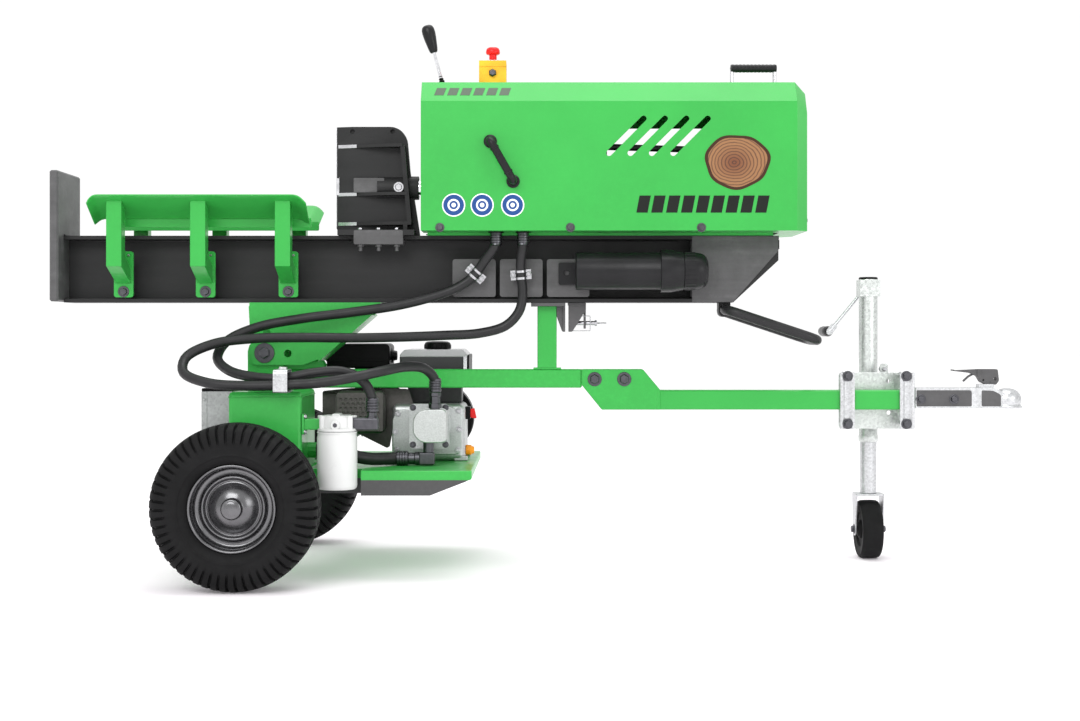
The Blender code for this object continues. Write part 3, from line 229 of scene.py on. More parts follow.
def weld(start, end, count, radius, ripple=0.0004, pitch=2.2, sides=8, waver=0.0, name="weld"):
    """A straight weld bead that ripples in thickness, and in height where it wavers."""
    start, end = Vector(start), Vector(end)
    path = [start.lerp(end, step / (count - 1)) + Vector((0, 0, waver * math.sin(step * 1.9)))
        for step in range(count)]
    radii = [radius + ripple * math.sin(step * pitch) for step in range(count)]
    return sweep(name, path, radii, sides=sides)


def rim_ribs(place, plane, ring, count, low, high, radius, sides=8):
    """Round ribs on the rim of a cap, from low to high along its axis."""
    place = Vector(place)
    ribs = []
    for number in range(count):
        angle = math.tau * number / count
        start, end = (place + Vector(PLANES[plane](ring * math.cos(angle), ring * math.sin(angle), level))
            for level in (low, high))
        ribs.append(bar("rib", start, end, radius, sides))
    return ribs


def on_side(side, inner, outer):
    """Two distances from the middle as low and high on one side, which is -1 or 1."""
    return sorted((side * inner, side * outer))


def rounded_path(corners, bend, closed=False, steps=8):
    """3-D corners joined by straight runs with round bends."""
    corners = [Vector(corner) for corner in corners]
    path = []
    count = len(corners)
    for index, corner in enumerate(corners):
        if not closed and index in (0, count - 1):
            path.append(corner)
            continue
        to_last = (corners[index - 1] - corner).normalized()
        to_next = (corners[(index + 1) % count] - corner).normalized()
        half = to_last.angle(to_next) / 2
        reach = bend / math.tan(half)
        centre = corner + (to_last + to_next).normalized() * (bend / math.sin(half))
        first = corner + to_last * reach - centre
        last = corner + to_next * reach - centre
        arc = first.angle(last)
        for step in range(steps + 1):
            share = step / steps
            path.append(centre + first * (math.sin((1 - share) * arc) / math.sin(arc))
                + last * (math.sin(share * arc) / math.sin(arc)))
    return path


def carve(base, tools, operation, bevel=0.0):
    """Join tools to a piece (UNION) or cut them out of it (DIFFERENCE); its own bevel goes on."""
    kept = [(m.width, m.segments) for m in base.modifiers if m.type == "BEVEL"] or [(bevel, 2)]
    for piece in (base, *tools):
        piece.modifiers.clear()
    for tool in tools:
        modifier = base.modifiers.new("carve", "BOOLEAN")
        modifier.operation = operation
        modifier.solver = "EXACT"
        modifier.object = tool
    graph = bpy.context.evaluated_depsgraph_get()
    graph.update()
    mesh = bpy.data.meshes.new_from_object(base.evaluated_get(graph))
    base.modifiers.clear()
    base.data = mesh
    for tool in tools:
        bpy.data.objects.remove(tool, do_unlink=True)
    return soften(base, *kept[0])


def fuse(base, *tools):
    return carve(base, tools, "UNION")


def cut(base, *tools, bevel=0.0):
    return carve(base, tools, "DIFFERENCE", bevel)


def join(name, pieces):
    """Several separate pieces as one object, their modifiers applied."""
    bm = bmesh.new()
    graph = bpy.context.evaluated_depsgraph_get()
    graph.update()
    for piece in pieces:
        mesh = bpy.data.meshes.new_from_object(piece.evaluated_get(graph))
        mesh.transform(piece.matrix_world)
        bm.from_mesh(mesh)
        bpy.data.meshes.remove(mesh)
    for piece in pieces:
        bpy.data.objects.remove(piece, do_unlink=True)
    mesh = bpy.data.meshes.new(name)
    bm.to_mesh(mesh)
    bm.free()
    piece = bpy.data.objects.new(name, mesh)
    bpy.context.collection.objects.link(piece)
    return piece


def smooth_route(points, spacing):
    """Evenly spaced points along a Catmull-Rom curve through a hose's route."""
    points = [Vector(point) for point in points]
    padded = [2 * points[0] - points[1], *points, 2 * points[-1] - points[-2]]
    fine = [points[0]]
    for index in range(1, len(padded) - 2):
        p0, p1, p2, p3 = padded[index - 1:index + 3]
        t1 = (p1 - p0).length ** 0.5
        t2 = t1 + (p2 - p1).length ** 0.5
        t3 = t2 + (p3 - p2).length ** 0.5
        for step in range(1, FINE_STEPS + 1):
            t = t1 + (t2 - t1) * step / FINE_STEPS
            a1 = p0.lerp(p1, t / t1)
            a2 = p1.lerp(p2, (t - t1) / (t2 - t1))
            a3 = p2.lerp(p3, (t - t2) / (t3 - t2))
            b1 = a1.lerp(a2, t / t2)
            b2 = a2.lerp(a3, (t - t1) / (t3 - t1))
            fine.append(b1.lerp(b2, (t - t1) / (t2 - t1)))
    lengths = [0.0]
    for before, after in zip(fine, fine[1:]):
        lengths.append(lengths[-1] + (after - before).length)
    count = max(4, round(lengths[-1] / spacing))
    even = []
    index = 0
    for step in range(count + 1):
        target = lengths[-1] * step / count
        while index < len(fine) - 2 and lengths[index + 1] < target:
            index += 1
        share = (target - lengths[index]) / (lengths[index + 1] - lengths[index])
        even.append(fine[index].lerp(fine[index + 1], min(1.0, share)))
    return even


# ================================================================ materials
class Nodes:
    """Short calls for building one material's node tree."""

    def __init__(self, name):
        self.material = bpy.data.materials.new(name)
        self.material.use_nodes = True
        self.tree = self.material.node_tree
        self.shader = self.tree.nodes["Principled BSDF"]
        self.coordinates = self.tree.nodes.new("ShaderNodeTexCoord").outputs["Object"]

    def connect(self, value, socket):
        """Link another node's output to a socket, or set the socket's own value."""
        if isinstance(value, bpy.types.NodeSocket):
            self.tree.links.new(value, socket)
        elif socket.type == "RGBA":
            socket.default_value = (*value, 1.0)
        else:
            socket.default_value = value

    def node(self, kind, settings=None, **links):
        made = self.tree.nodes.new("ShaderNode" + kind)
        for key, value in (settings or {}).items():
            setattr(made, key, value)
        for key, value in links.items():
            self.connect(value, made.inputs[key.replace("_", " ")])
        return made

    def noise(self, scale, detail=4.0, roughness=0.55, stretch=None):
        vector = self.coordinates
        if stretch:
            vector = self.node("Mapping", Vector=vector, Scale=stretch).outputs[0]
        return self.node("TexNoise", Vector=vector, Scale=scale, Detail=detail,
            Roughness=roughness).outputs["Fac"]

    def ramp(self, factor, stops):
        """stops: (position, colour or grey level)"""
        ramp = self.node("ValToRGB", Fac=factor)
        elements = ramp.color_ramp.elements
        while len(elements) < len(stops):
            elements.new(0.5)
        for element, (position, colour) in zip(elements, stops):
            element.position = position
            value = colour if isinstance(colour, tuple) else (colour, colour, colour)
            element.color = (*value, 1.0)
        return ramp.outputs["Color"]

    def math(self, operation, first, second=0.0):
        made = self.node("Math", {"operation": operation})
        self.connect(first, made.inputs[0])
        self.connect(second, made.inputs[1])
        return made.outputs[0]

    def mix(self, factor, first, second, blend="MIX"):
        """Two colours mixed; a colour mix has its factor, colours and result at these numbers."""
        made = self.node("Mix", {"data_type": "RGBA", "blend_type": blend})
        for number, value in ((0, factor), (6, first), (7, second)):
            self.connect(value, made.inputs[number])
        return made.outputs[2]

    def distance(self, vector):
        """How far a point is from the origin."""
        made = self.node("VectorMath", {"operation": "LENGTH"})
        self.connect(vector, made.inputs[0])
        return made.outputs["Value"]

    def bump(self, height, strength, distance=0.001):
        bump = self.node("Bump", Height=height, Strength=strength, Distance=distance)
        self.tree.links.new(bump.outputs[0], self.shader.inputs["Normal"])

    def set(self, socket, value):
        self.connect(value, self.shader.inputs[socket])


def shade(colour, factor):
    """A colour made darker or lighter."""
    return tuple(min(1.0, channel * factor) for channel in colour)


def paint(name, colour, roughness=0.35, peel=0.1, wear=0.25, coat=0.0):
    """Sprayed paint: a fine orange peel, cloudy tone and edges worn a little lighter."""
    n = Nodes(name)
    cloud = n.noise(5.0, 3.0)
    tone = n.ramp(cloud, [(0.3, shade(colour, 0.94)), (0.7, shade(colour, 1.05))])
    edge = n.ramp(n.node("NewGeometry").outputs["Pointiness"], [(0.52, 0.0), (0.62, wear)])
    speck = n.ramp(n.noise(90.0, 6.0, 0.7), [(0.45, 0.0), (0.75, 1.0)])
    n.set("Base Color", n.mix(n.math("MULTIPLY", edge, speck), tone, shade(colour, 1.6)))
    n.set("Roughness", n.ramp(n.noise(14.0, 4.0), [(0.3, roughness - 0.05), (0.7, roughness + 0.07)]))
    n.bump(n.noise(420.0, 2.0), peel, 0.0006)
    n.set("Specular IOR Level", 0.22)
    if coat:
        n.set("Coat Weight", coat)
        n.set("Coat Roughness", 0.12)
    return n.material


def scale_paint(name, colour, roughness=0.5):
    """Dark paint over hot-rolled steel: mottled, streaked along the beam and dusty."""
    n = Nodes(name)
    mottle = n.noise(22.0, 8.0, 0.7)
    streak = n.noise(9.0, 5.0, 0.6, (0.25, 1.0, 3.0))
    blend = n.math("MULTIPLY", n.math("ADD", mottle, streak), 0.5)
    tones = [(0.3, shade(colour, 0.62)), (0.55, colour), (0.78, shade(colour, 1.75))]
    n.set("Base Color", n.ramp(blend, tones))
    n.set("Roughness", n.ramp(mottle, [(0.3, roughness - 0.12), (0.7, roughness + 0.12)]))
    n.bump(n.noise(260.0, 5.0, 0.65), 0.22, 0.0008)
    n.set("Specular IOR Level", 0.25)
    return n.material


def galvanised(name, colour, roughness, spangle):
    """Zinc with crystal spangle, each grain its own tone and gloss."""
    n = Nodes(name)
    cells = n.node("TexVoronoi", Vector=n.coordinates, Scale=spangle)
    grain = n.node("RGBToBW", Color=cells.outputs["Color"]).outputs[0]
    fine = n.noise(160.0, 5.0, 0.7)
    tone = n.math("ADD", n.math("MULTIPLY", grain, 0.55), n.math("MULTIPLY", fine, 0.45))
    tones = [(0.25, shade(colour, 0.8)), (0.55, colour), (0.85, shade(colour, 1.18))]
    n.set("Base Color", n.ramp(tone, tones))
    n.set("Metallic", 0.85)
    n.set("Roughness", n.ramp(grain, [(0.1, roughness - 0.06), (0.9, roughness + 0.08)]))
    n.bump(fine, 0.12, 0.0006)
    return n.material


def metal(name, colour, roughness=0.25, grain=0.1, metallic=1.0, stretch=None, scale=120.0):
    """Bare or plated metal with a fine directional or cast grain."""
    n = Nodes(name)
    grit = n.noise(scale, 6.0, 0.6, stretch)
    n.set("Base Color", n.ramp(grit, [(0.25, shade(colour, 0.78)), (0.75, shade(colour, 1.15))]))
    n.set("Metallic", metallic)
    glosses = [(0.3, max(0.03, roughness - 0.06)), (0.7, roughness + 0.08)]
    n.set("Roughness", n.ramp(n.noise(30.0, 4.0), glosses))
    n.bump(grit, grain, 0.0006)
    return n.material


def moulded(name, colour, roughness=0.45, texture=0.12, scale=700.0, gloss=0.22):
    """Moulded plastic or rubber with a fine leather-like texture."""
    n = Nodes(name)
    tones = [(0.3, shade(colour, 0.8)), (0.7, shade(colour, 1.3))]
    n.set("Base Color", n.ramp(n.noise(18.0, 5.0), tones))
    n.set("Roughness", n.ramp(n.noise(60.0, 4.0), [(0.3, roughness - 0.06), (0.7, roughness + 0.1)]))
    n.bump(n.noise(scale, 3.0, 0.6), texture, 0.0005)
    n.set("Specular IOR Level", gloss)
    return n.material


def wood(name):
    """A log's cut end: growth rings round a heart a little off centre."""
    n = Nodes(name)
    heart_place = (-0.49 - DATUM_X, 0.0, -1.008)
    place = n.node("Mapping", {"vector_type": "POINT"}, Vector=n.coordinates,
        Location=heart_place).outputs[0]
    flat = n.node("VectorMath", {"operation": "MULTIPLY"})
    n.connect(place, flat.inputs[0])
    n.connect((1.0, 0.0, 1.18), flat.inputs[1])
    distance = n.distance(flat.outputs[0])
    wobble = n.math("MULTIPLY", n.noise(22.0, 3.0), 0.012)
    rings = n.math("SINE", n.math("MULTIPLY", n.math("ADD", distance, wobble), 720.0))
    tone = n.ramp(rings, [(0.0, (0.27, 0.125, 0.045)), (0.55, (0.21, 0.09, 0.03)),
            (1.0, (0.085, 0.032, 0.012))])
    heart = n.ramp(n.math("MULTIPLY", distance, 14.0),
        [(0.1, (0.55, 0.34, 0.22)), (0.75, (1.0, 1.0, 1.0))])
    n.set("Base Color", n.mix(1.0, tone, heart, "MULTIPLY"))
    n.set("Roughness", n.ramp(n.noise(80.0, 4.0), [(0.3, 0.4), (0.7, 0.55)]))
    n.bump(rings, 0.05, 0.0003)
    return n.material


M = {
    "green": paint("green_coat", (0.034, 0.362, 0.058), 0.34, 0.1, 0.3, 0.25),
    "beam": scale_paint("beam_paint", (0.018, 0.018, 0.0185), 0.5),
    "dark": paint("dark_coat", (0.052, 0.052, 0.054), 0.42, 0.16, 0.6),
    "plate": scale_paint("plate_paint", (0.092, 0.091, 0.093), 0.46),
    # painted shade: the skirt's grey is darker than the plate paint to offset the light the floor throws
    # up onto it
    "skirt": paint("skirt_coat_painted_shade", (0.066, 0.066, 0.067), 0.46, 0.12, 0.3),
    "zinc": galvanised("zinc_plate", (0.6, 0.63, 0.61), 0.36, 190.0),
    "zinc_bright": galvanised("zinc_bright", (0.56, 0.57, 0.58), 0.34, 260.0),
    "galvanised": galvanised("galvanised_sheet", (0.36, 0.375, 0.37), 0.38, 170.0),
    "bolt": metal("bolt_zinc", (0.5, 0.5, 0.52), 0.28, 0.05),
    "dark_bolt": metal("black_bolt", (0.1, 0.1, 0.11), 0.34, 0.08),
    "rim": metal("rim_metal", (0.155, 0.155, 0.16), 0.24, 0.04, 1.0, None, 30.0),
    "chrome": metal("hard_chrome", (0.78, 0.78, 0.8), 0.07, 0.02),
    "steel": metal("bare_steel", (0.62, 0.62, 0.64), 0.24, 0.08, 1.0, (0.2, 1.0, 1.0)),
    "pump": metal("pump_casting", (0.5, 0.52, 0.51), 0.42, 0.1, 0.75, None, 300.0),
    "fuel_top": paint("fuel_tank_top", (0.44, 0.44, 0.45), 0.28, 0.05, 0.0, 0.3),
    "cast": metal("cast_aluminium", (0.52, 0.54, 0.535), 0.44, 0.3, 0.85, None, 240.0),
    "muffler": metal("muffler_steel", (0.1, 0.095, 0.09), 0.5, 0.25, 0.7, None, 90.0),
    "rubber": moulded("hose_rubber", (0.012, 0.012, 0.013), 0.42, 0.1, 900.0, 0.35),
    "tyre": moulded("tyre_rubber", (0.0075, 0.0075, 0.0078), 0.62, 0.18, 500.0, 0.12),
    "plastic": moulded("black_plastic", (0.0036, 0.0036, 0.0039), 0.36, 0.1, 700.0, 0.1),
    "canister": moulded("canister_plastic", (0.011, 0.011, 0.012), 0.34, 0.16, 420.0),
    "grip": moulded("grip_plastic", (0.01, 0.01, 0.011), 0.3, 0.06),
    "white": paint("white_enamel", (0.66, 0.67, 0.66), 0.3, 0.06, 0.1, 0.3),
    "yellow": moulded("yellow_plastic", (0.78, 0.42, 0.022), 0.36, 0.08),
    "red": moulded("red_plastic", (0.62, 0.012, 0.012), 0.26, 0.03),
    "orange": moulded("orange_plastic", (0.8, 0.28, 0.012), 0.36, 0.05),
    "sticker_white": paint("sticker_white", (0.86, 0.87, 0.88), 0.3, 0.02, 0.0, 0.2),
    "sticker_blue": paint("sticker_blue", (0.012, 0.062, 0.23), 0.3, 0.02, 0.0, 0.2),
    "sticker_dark": paint("sticker_dark", (0.004, 0.006, 0.004), 0.32, 0.02, 0.0, 0.2),
    "sticker_grey": paint("sticker_grey", (0.052, 0.085, 0.05), 0.34, 0.02, 0.0, 0.2),
    "bark": paint("bark_brown", (0.045, 0.018, 0.008), 0.55, 0.3, 0.0),
    "wood": wood("log_end_rings"),
}


def dress(piece, look):
    piece.data.materials.clear()
    piece.data.materials.append(M[look])
    return piece


def add(piece, body, look, *stands_for):
    """Set a piece at the datum with its material and slot, on a body, in place of CAD nodes."""
    piece.data.transform(Matrix.Translation((DATUM_X, 0, 0)))
    dress(piece, look)
    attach(piece, body)
    if stands_for:
        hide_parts(*stands_for)
    return piece


def group(name, pieces, body, look, *stands_for):
    """Several separate pieces added as one."""
    return add(join(name, pieces), body, look, *stands_for)


def keep(node, look, bevel=0.0015):
    """A CAD node that stays as it is, with a better material and softened edges."""
    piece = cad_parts[node]
    for slot in piece.material_slots:
        slot.material = M[look]
    round_edges(piece, bevel)


def hex_head(start, axis, radius, height):
    """A chamfered hexagon head."""
    return turned("head", [(0, 0), (radius, 0), (radius, height * 0.75), (radius * 0.84, height),
            (0, height)], start, axis, 6, 0.0005, 20.0)


def washer(start, axis, radius, height=0.0018):
    """A flat ring with its outer edge turned down."""
    profile = [(0, 0), (radius, 0), (radius, height * 0.6), (radius - height * 0.5, height), (0, height)]
    return turned("washer", profile, start, axis, 28)


def bolt(start, axis, radius, height=None, ring=True):
    """A hexagon head on a washer, standing on a surface."""
    start, axis = Vector(start), Vector(axis).normalized()
    height = height or radius * 0.75
    pieces = []
    if ring:
        pieces.append(washer(start, axis, radius * 1.45))
        start = start + axis * 0.0016
    pieces.append(hex_head(start, axis, radius, height))
    return pieces


def bolts(name, body, look, places, axis, radius, height=None, ring=True):
    """A row of equal bolts as one piece."""
    pieces = []
    for place in places:
        pieces += bolt(place, axis, radius, height, ring)
    return group(name, pieces, body, look)


def centre_of(node):
    """The middle of a CAD node's box, measured from the datum."""
    low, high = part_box(node)
    return (Vector(low) + Vector(high)) / 2 - Vector((DATUM_X, 0, 0))


# ================================================================ camera and light
def camera():
    """A level camera beside the machine, a little below its middle."""
    lens = bpy.data.cameras.new("camera")
    view = bpy.data.objects.new("camera", lens)
    bpy.context.collection.objects.link(view)
    view.location = (DATUM_X, -4.15, 0.5964)
    view.rotation_euler = (math.radians(90), 0, 0)
    lens.sensor_width = 36.0
    lens.lens = 54.25
    lens.shift_x = 0.0046
    lens.shift_y = -0.0282
    lens.clip_end = 100.0
    bpy.context.scene.camera = view


def softbox(name, place, target, size, power):
    """A rectangular lamp that faces its target."""
    light = bpy.data.lights.new(name, "AREA")
    light.shape = "RECTANGLE"
    light.size, light.size_y = size
    light.energy = power
    lamp = bpy.data.objects.new(name, light)
    bpy.context.collection.objects.link(lamp)
    lamp.location = place
    lamp.rotation_euler = (Vector(target) - Vector(place)).to_track_quat("-Z", "Y").to_euler()


def studio():
    """White surroundings, three lamps and a pale floor that is lit a little from within, with painted
    shade near its middle.
    """
    world = bpy.data.worlds.new("studio")
    bpy.context.scene.world = world
    world.use_nodes = True
    background = world.node_tree.nodes["Background"]
    background.inputs["Color"].default_value = (1.0, 1.0, 1.0, 1.0)
    background.inputs["Strength"].default_value = 1.02
    softbox("key", (-1.6, -4.6, 3.4), (0, 0, 0.7), (3.0, 2.2), 120)
    softbox("fill", (3.4, -3.6, 1.6), (0, 0, 0.7), (2.0, 2.0), 40)
    softbox("top", (0.2, 0.2, 4.2), (0, 0, 0.6), (4.0, 2.4), 95)
    bm = bmesh.new()
    bmesh.ops.create_grid(bm, x_segments=1, y_segments=1, size=30.0)
    floor = new_object(bm, "floor")
    n = Nodes("pale_floor_painted_shade")
    # painted shade: the floor is darker and a little pink near the middle, to offset the top lamp's pool
    # of light and the green light thrown onto it by the machine
    reach = n.math("MULTIPLY", n.distance(n.coordinates), 0.1)
    tones = [(0.0, (0.9, 0.855, 0.893)), (0.2, (0.91, 0.885, 0.906)), (0.4, 0.93), (0.6, 0.96),
        (1.0, 1.0)]
    n.set("Base Color", n.ramp(reach, tones))
    n.set("Roughness", 0.9)
    n.set("Specular IOR Level", 0.1)
    # painted light: the floor glows a little, pink-white, which lifts its shadows
    n.set("Emission Color", (1.0, 0.97, 1.0))
    n.set("Emission Strength", 0.11)
    floor.data.materials.append(n.material)
    settings = bpy.context.scene.view_settings
    settings.view_transform = "Standard"
    settings.look = "None"


camera()
studio()

# ================================================================ hoses
HOSE_RADIUS, SUCTION_HOSE_RADIUS = 0.012, 0.0155
RETURN_HOSE_ROUTE = [
    (-0.097, -0.1, 0.84), (-0.098, -0.0997, 0.812), (-0.126, -0.09, 0.769),
    (-0.1526, -0.083, 0.7327), (-0.188, -0.082, 0.706), (-0.245, -0.084, 0.683),
    (-0.337, -0.092, 0.6588), (-0.46, -0.105, 0.64), (-0.582, -0.12, 0.624),
    (-0.685, -0.14, 0.603), (-0.752, -0.172, 0.57), (-0.768, -0.215, 0.53),
    (-0.731, -0.265, 0.5), (-0.665, -0.305, 0.4855), (-0.593, -0.3215, 0.4825),
    (-0.52, -0.319, 0.4955), (-0.455, -0.312, 0.4985), (-0.409, -0.304, 0.478),
    (-0.3875, -0.3005, 0.442), (-0.3856, -0.3, 0.403),
]
PRESSURE_HOSE_ROUTE = [
    (-0.03, -0.1, 0.84), (-0.0305, -0.0995, 0.808), (-0.036, -0.088, 0.765),
    (-0.035, -0.083, 0.7327), (-0.031, -0.083, 0.69), (-0.039, -0.085, 0.645),
    (-0.072, -0.088, 0.608), (-0.135, -0.092, 0.589), (-0.23, -0.098, 0.583),
    (-0.335, -0.112, 0.579), (-0.44, -0.135, 0.577), (-0.56, -0.165, 0.578),
    (-0.68, -0.198, 0.576), (-0.775, -0.225, 0.563), (-0.834, -0.256, 0.532),
    (-0.833, -0.293, 0.496), (-0.768, -0.327, 0.472), (-0.68, -0.343, 0.466),
    (-0.589, -0.3475, 0.4678), (-0.5, -0.35, 0.4735), (-0.425, -0.343, 0.4855),
    (-0.362, -0.305, 0.499), (-0.31, -0.24, 0.508), (-0.268, -0.182, 0.5015),
    (-0.2465, -0.152, 0.4745), (-0.2458, -0.15, 0.4445),
]
SUCTION_HOSE_ROUTE = [
    (-0.529, -0.2, 0.305), (-0.5, -0.2, 0.3048), (-0.455, -0.196, 0.2935),
    (-0.405, -0.178, 0.2825), (-0.35, -0.1515, 0.281), (-0.311, -0.15, 0.281),
]


def route_in_frame(route):
    return [(x + DATUM_X, y, z) for x, y, z in route]


RETURN_HOSE_BEND = ((-0.4892, -0.1077, 0.6279), (-0.455, -0.3281, 0.5279))
PRESSURE_HOSE_BEND = ((-0.4899, -0.2274, 0.5429), (-0.5779, -0.3253, 0.4675))
TANK_CLIP_X = -0.593


def hose_length(name, path, radius, node, bend=None):
    """One length of hose as a tube mesh; with a bend given it is left on no body, without one it rides on
    the chassis.
    """
    piece = dress(sweep(name, path, radius, sides=24), "rubber")
    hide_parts(node)
    if bend:
        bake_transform(piece)
    else:
        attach(piece, "chassis")


def hose(name, route, radius, node, bend=None, held_by_clip=False):
    """A whole hose; where the tank's clip holds it, its free span and its fixed run are two pieces."""
    path = smooth_route(route_in_frame(route), radius)
    if held_by_clip:
        clip_x = TANK_CLIP_X + DATUM_X
        meeting = max(number for number, point in enumerate(path) if point.x < clip_x and point.z < 0.5)
        hose_length(name, path[:meeting + 1], radius, node, bend)
        hose_length(name + "_fixed_run", path[meeting:], radius, node)
    else:
        hose_length(name, path, radius, node, bend)
    return path


def band(centre, along, inner, outer, half):
    """A flat ring round a hose or tube."""
    return turned("band", [(inner, -half), (outer, -half), (outer, half), (inner, half)], centre, along,
        32)


def ferrule(start, along, radius, length=0.034):
    """A crimped hose end, from the hose's end backwards."""
    start, along = Vector(start), Vector(along).normalized()
    crimps = [(radius + 0.0002, 0), (radius + 0.003, 0.001)]
    for number in range(4):
        low = 0.003 + number * 0.0065
        crimps += [(radius + 0.0034, low), (radius + 0.0034, low + 0.0035),
            (radius + 0.002, low + 0.0045), (radius + 0.002, low + 0.0055)]
    crimps += [(radius + 0.003, length - 0.002), (radius + 0.0002, length)]
    return turned("ferrule", crimps, start, along, 32)


def hoses():
    """The three hoses, their crimped ends and the clamps that hold them."""
    return_path = hose("return_line", RETURN_HOSE_ROUTE, HOSE_RADIUS, "return_hose", RETURN_HOSE_BEND)
    pressure_path = hose("pressure_line", PRESSURE_HOSE_ROUTE, HOSE_RADIUS, "pressure_hose",
        PRESSURE_HOSE_BEND, True)
    suction_path = hose("suction_line", SUCTION_HOSE_ROUTE, SUCTION_HOSE_RADIUS, "suction_hose")
    shift = Vector((DATUM_X, 0, 0))
    upper, lower = [], []
    for path in (return_path, pressure_path):
        upper.append(ferrule(path[0] - shift, path[2] - path[0], HOSE_RADIUS))
        lower.append(ferrule(path[-1] - shift, path[-3] - path[-1], HOSE_RADIUS))
    lower.append(ferrule(suction_path[-1] - shift, suction_path[-3] - suction_path[-1],
            SUCTION_HOSE_RADIUS, 0.03))
    lower.append(ferrule(suction_path[0] - shift, suction_path[2] - suction_path[0], SUCTION_HOSE_RADIUS,
            0.03))
    group("hose_ferrules_upper", upper, "beam", "dark_bolt")
    group("hose_ferrules_lower", lower, "chassis", "dark_bolt")
    hose_clamps(return_path, pressure_path, shift)


def nearest(path, point):
    return min(range(len(path)), key=lambda index: (path[index] - point).length)


def hose_clamps(return_path, pressure_path, shift):
    """Twin-band saddles that hold both hoses to the beam's web plates."""
    pieces = []
    for path, spot in ((return_path, (-0.1526, -0.083, 0.7327)),
        (pressure_path, (-0.035, -0.083, 0.7327))):
        index = nearest(path, Vector(spot) + shift)
        centre = path[index] - shift
        along = (path[index + 2] - path[index - 2]).normalized()
        across = along.cross(Vector(NEAR)).normalized()
        for offset in (-0.0085, 0.0085):
            pieces.append(band(centre + along * offset, along, HOSE_RADIUS, HOSE_RADIUS + 0.0022, 0.0028))
        for side in (-1, 1):
            foot = centre + across * side * 0.0195
            wing = block("wing", (-0.0065, -0.0012, -0.0125), (0.0065, 0.0012, 0.0125), 0.0008)
            turn = Matrix((across, Vector(AWAY), along)).transposed().to_4x4()
            place = Matrix.Translation((foot.x, -0.08, foot.z))
            wing.data.transform(place @ turn)
            pieces.append(wing)
            pieces.append(rod("stud", (foot.x, foot.z), "XZ", -0.0795, -0.0585, 0.0042, 20))
            pieces += bolt((foot.x, -0.0812, foot.z), NEAR, 0.0052, 0.004)
    group("beam_hose_clamps", pieces, "beam", "bolt")


hoses()


# ================================================================ wheels
WHEEL_X, WHEEL_RADIUS, HALF_TRACK = -0.685, 0.192, 0.423
LUGS, STEPS = 54, 8                     # lugs round the tyre, and mesh steps in one lug
SHOULDER_START, SHOULDER_FADE, SHOULDER_DEPTH = 0.141, 0.022, 0.0078
CROWN_START, CROWN_HALF, CROWN_DEPTH = 0.157, 0.031, 0.0055
GROOVE_PLACE, GROOVE_HALF, GROOVE_ZIG = 0.0165, 0.0032, 0.002


def tread_depth(radius, offset, step):
    """How deep the tread is cut at one point, in metres."""
    across = abs(offset)
    phase = (step + (STEPS // 2 if offset > 0 else 0)) % STEPS
    depth = 0.0
    if radius > SHOULDER_START and across > CROWN_HALF:
        fade = min(1.0, (radius - SHOULDER_START) / SHOULDER_FADE)
        depth = SHOULDER_DEPTH * fade if phase in (0, 1) else 0.0
    elif radius > CROWN_START:
        zig = GROOVE_ZIG if (step // 4) % 2 else -GROOVE_ZIG
        near_groove = abs(across - GROOVE_PLACE - zig) < GROOVE_HALF or across < 0.002
        depth = CROWN_DEPTH if near_groove else 0.0
    return depth


def tyre(name, body, y, node):
    """A pneumatic tyre: bead, bulged sidewall with moulded rings, and a lugged shoulder."""
    half = [(0.0976, 0.04), (0.0984, 0.053), (0.1022, 0.0572), (0.105, 0.0625), (0.11, 0.0672),
        (0.116, 0.0702), (0.1205, 0.0716), (0.1215, 0.0729), (0.1235, 0.0734), (0.125, 0.0726),
        (0.132, 0.0738), (0.141, 0.0747), (0.149, 0.0748), (0.15, 0.0749), (0.152, 0.0749),
        (0.1532, 0.0746), (0.157, 0.0741), (0.16, 0.0736), (0.166, 0.0722), (0.172, 0.0698),
        (0.1775, 0.0662), (0.182, 0.0614), (0.1855, 0.0556), (0.1882, 0.0488), (0.19, 0.0415),
        (0.191, 0.035), (0.1914, 0.0312), (0.1917, 0.027), (0.1918, 0.022), (0.1919, 0.0195),
        (0.1919, 0.015), (0.192, 0.0125), (0.192, 0.006), (0.192, 0.0022), (0.192, 0.0008)]
    profile = half + [(radius, -offset) for radius, offset in reversed(half)]
    count = len(profile)
    bm = bmesh.new()
    rings = []
    total = LUGS * STEPS
    for step in range(total):
        angle = math.tau * step / total
        ring = []
        for index, (radius, offset) in enumerate(profile):
            before = profile[max(0, index - 1)]
            after = profile[min(count - 1, index + 1)]
            run, rise = after[0] - before[0], after[1] - before[1]
            size = math.hypot(run, rise) or 1.0
            depth = tread_depth(radius, offset, step)
            lift = radius - depth * abs(rise) / size
            place = offset - depth * math.copysign(abs(run) / size, offset)
            ring.append(bm.verts.new((WHEEL_X + lift * math.cos(angle), y + place,
                        WHEEL_RADIUS + lift * math.sin(angle))))
        rings.append(ring)
    for index, ring in enumerate(rings):
        following = rings[(index + 1) % total]
        for spot in range(count):
            after = (spot + 1) % count
            bm.faces.new((ring[spot], ring[after], following[after], following[spot]))
    add(new_object(bm, name, smooth=38.0), body, "tyre", node)


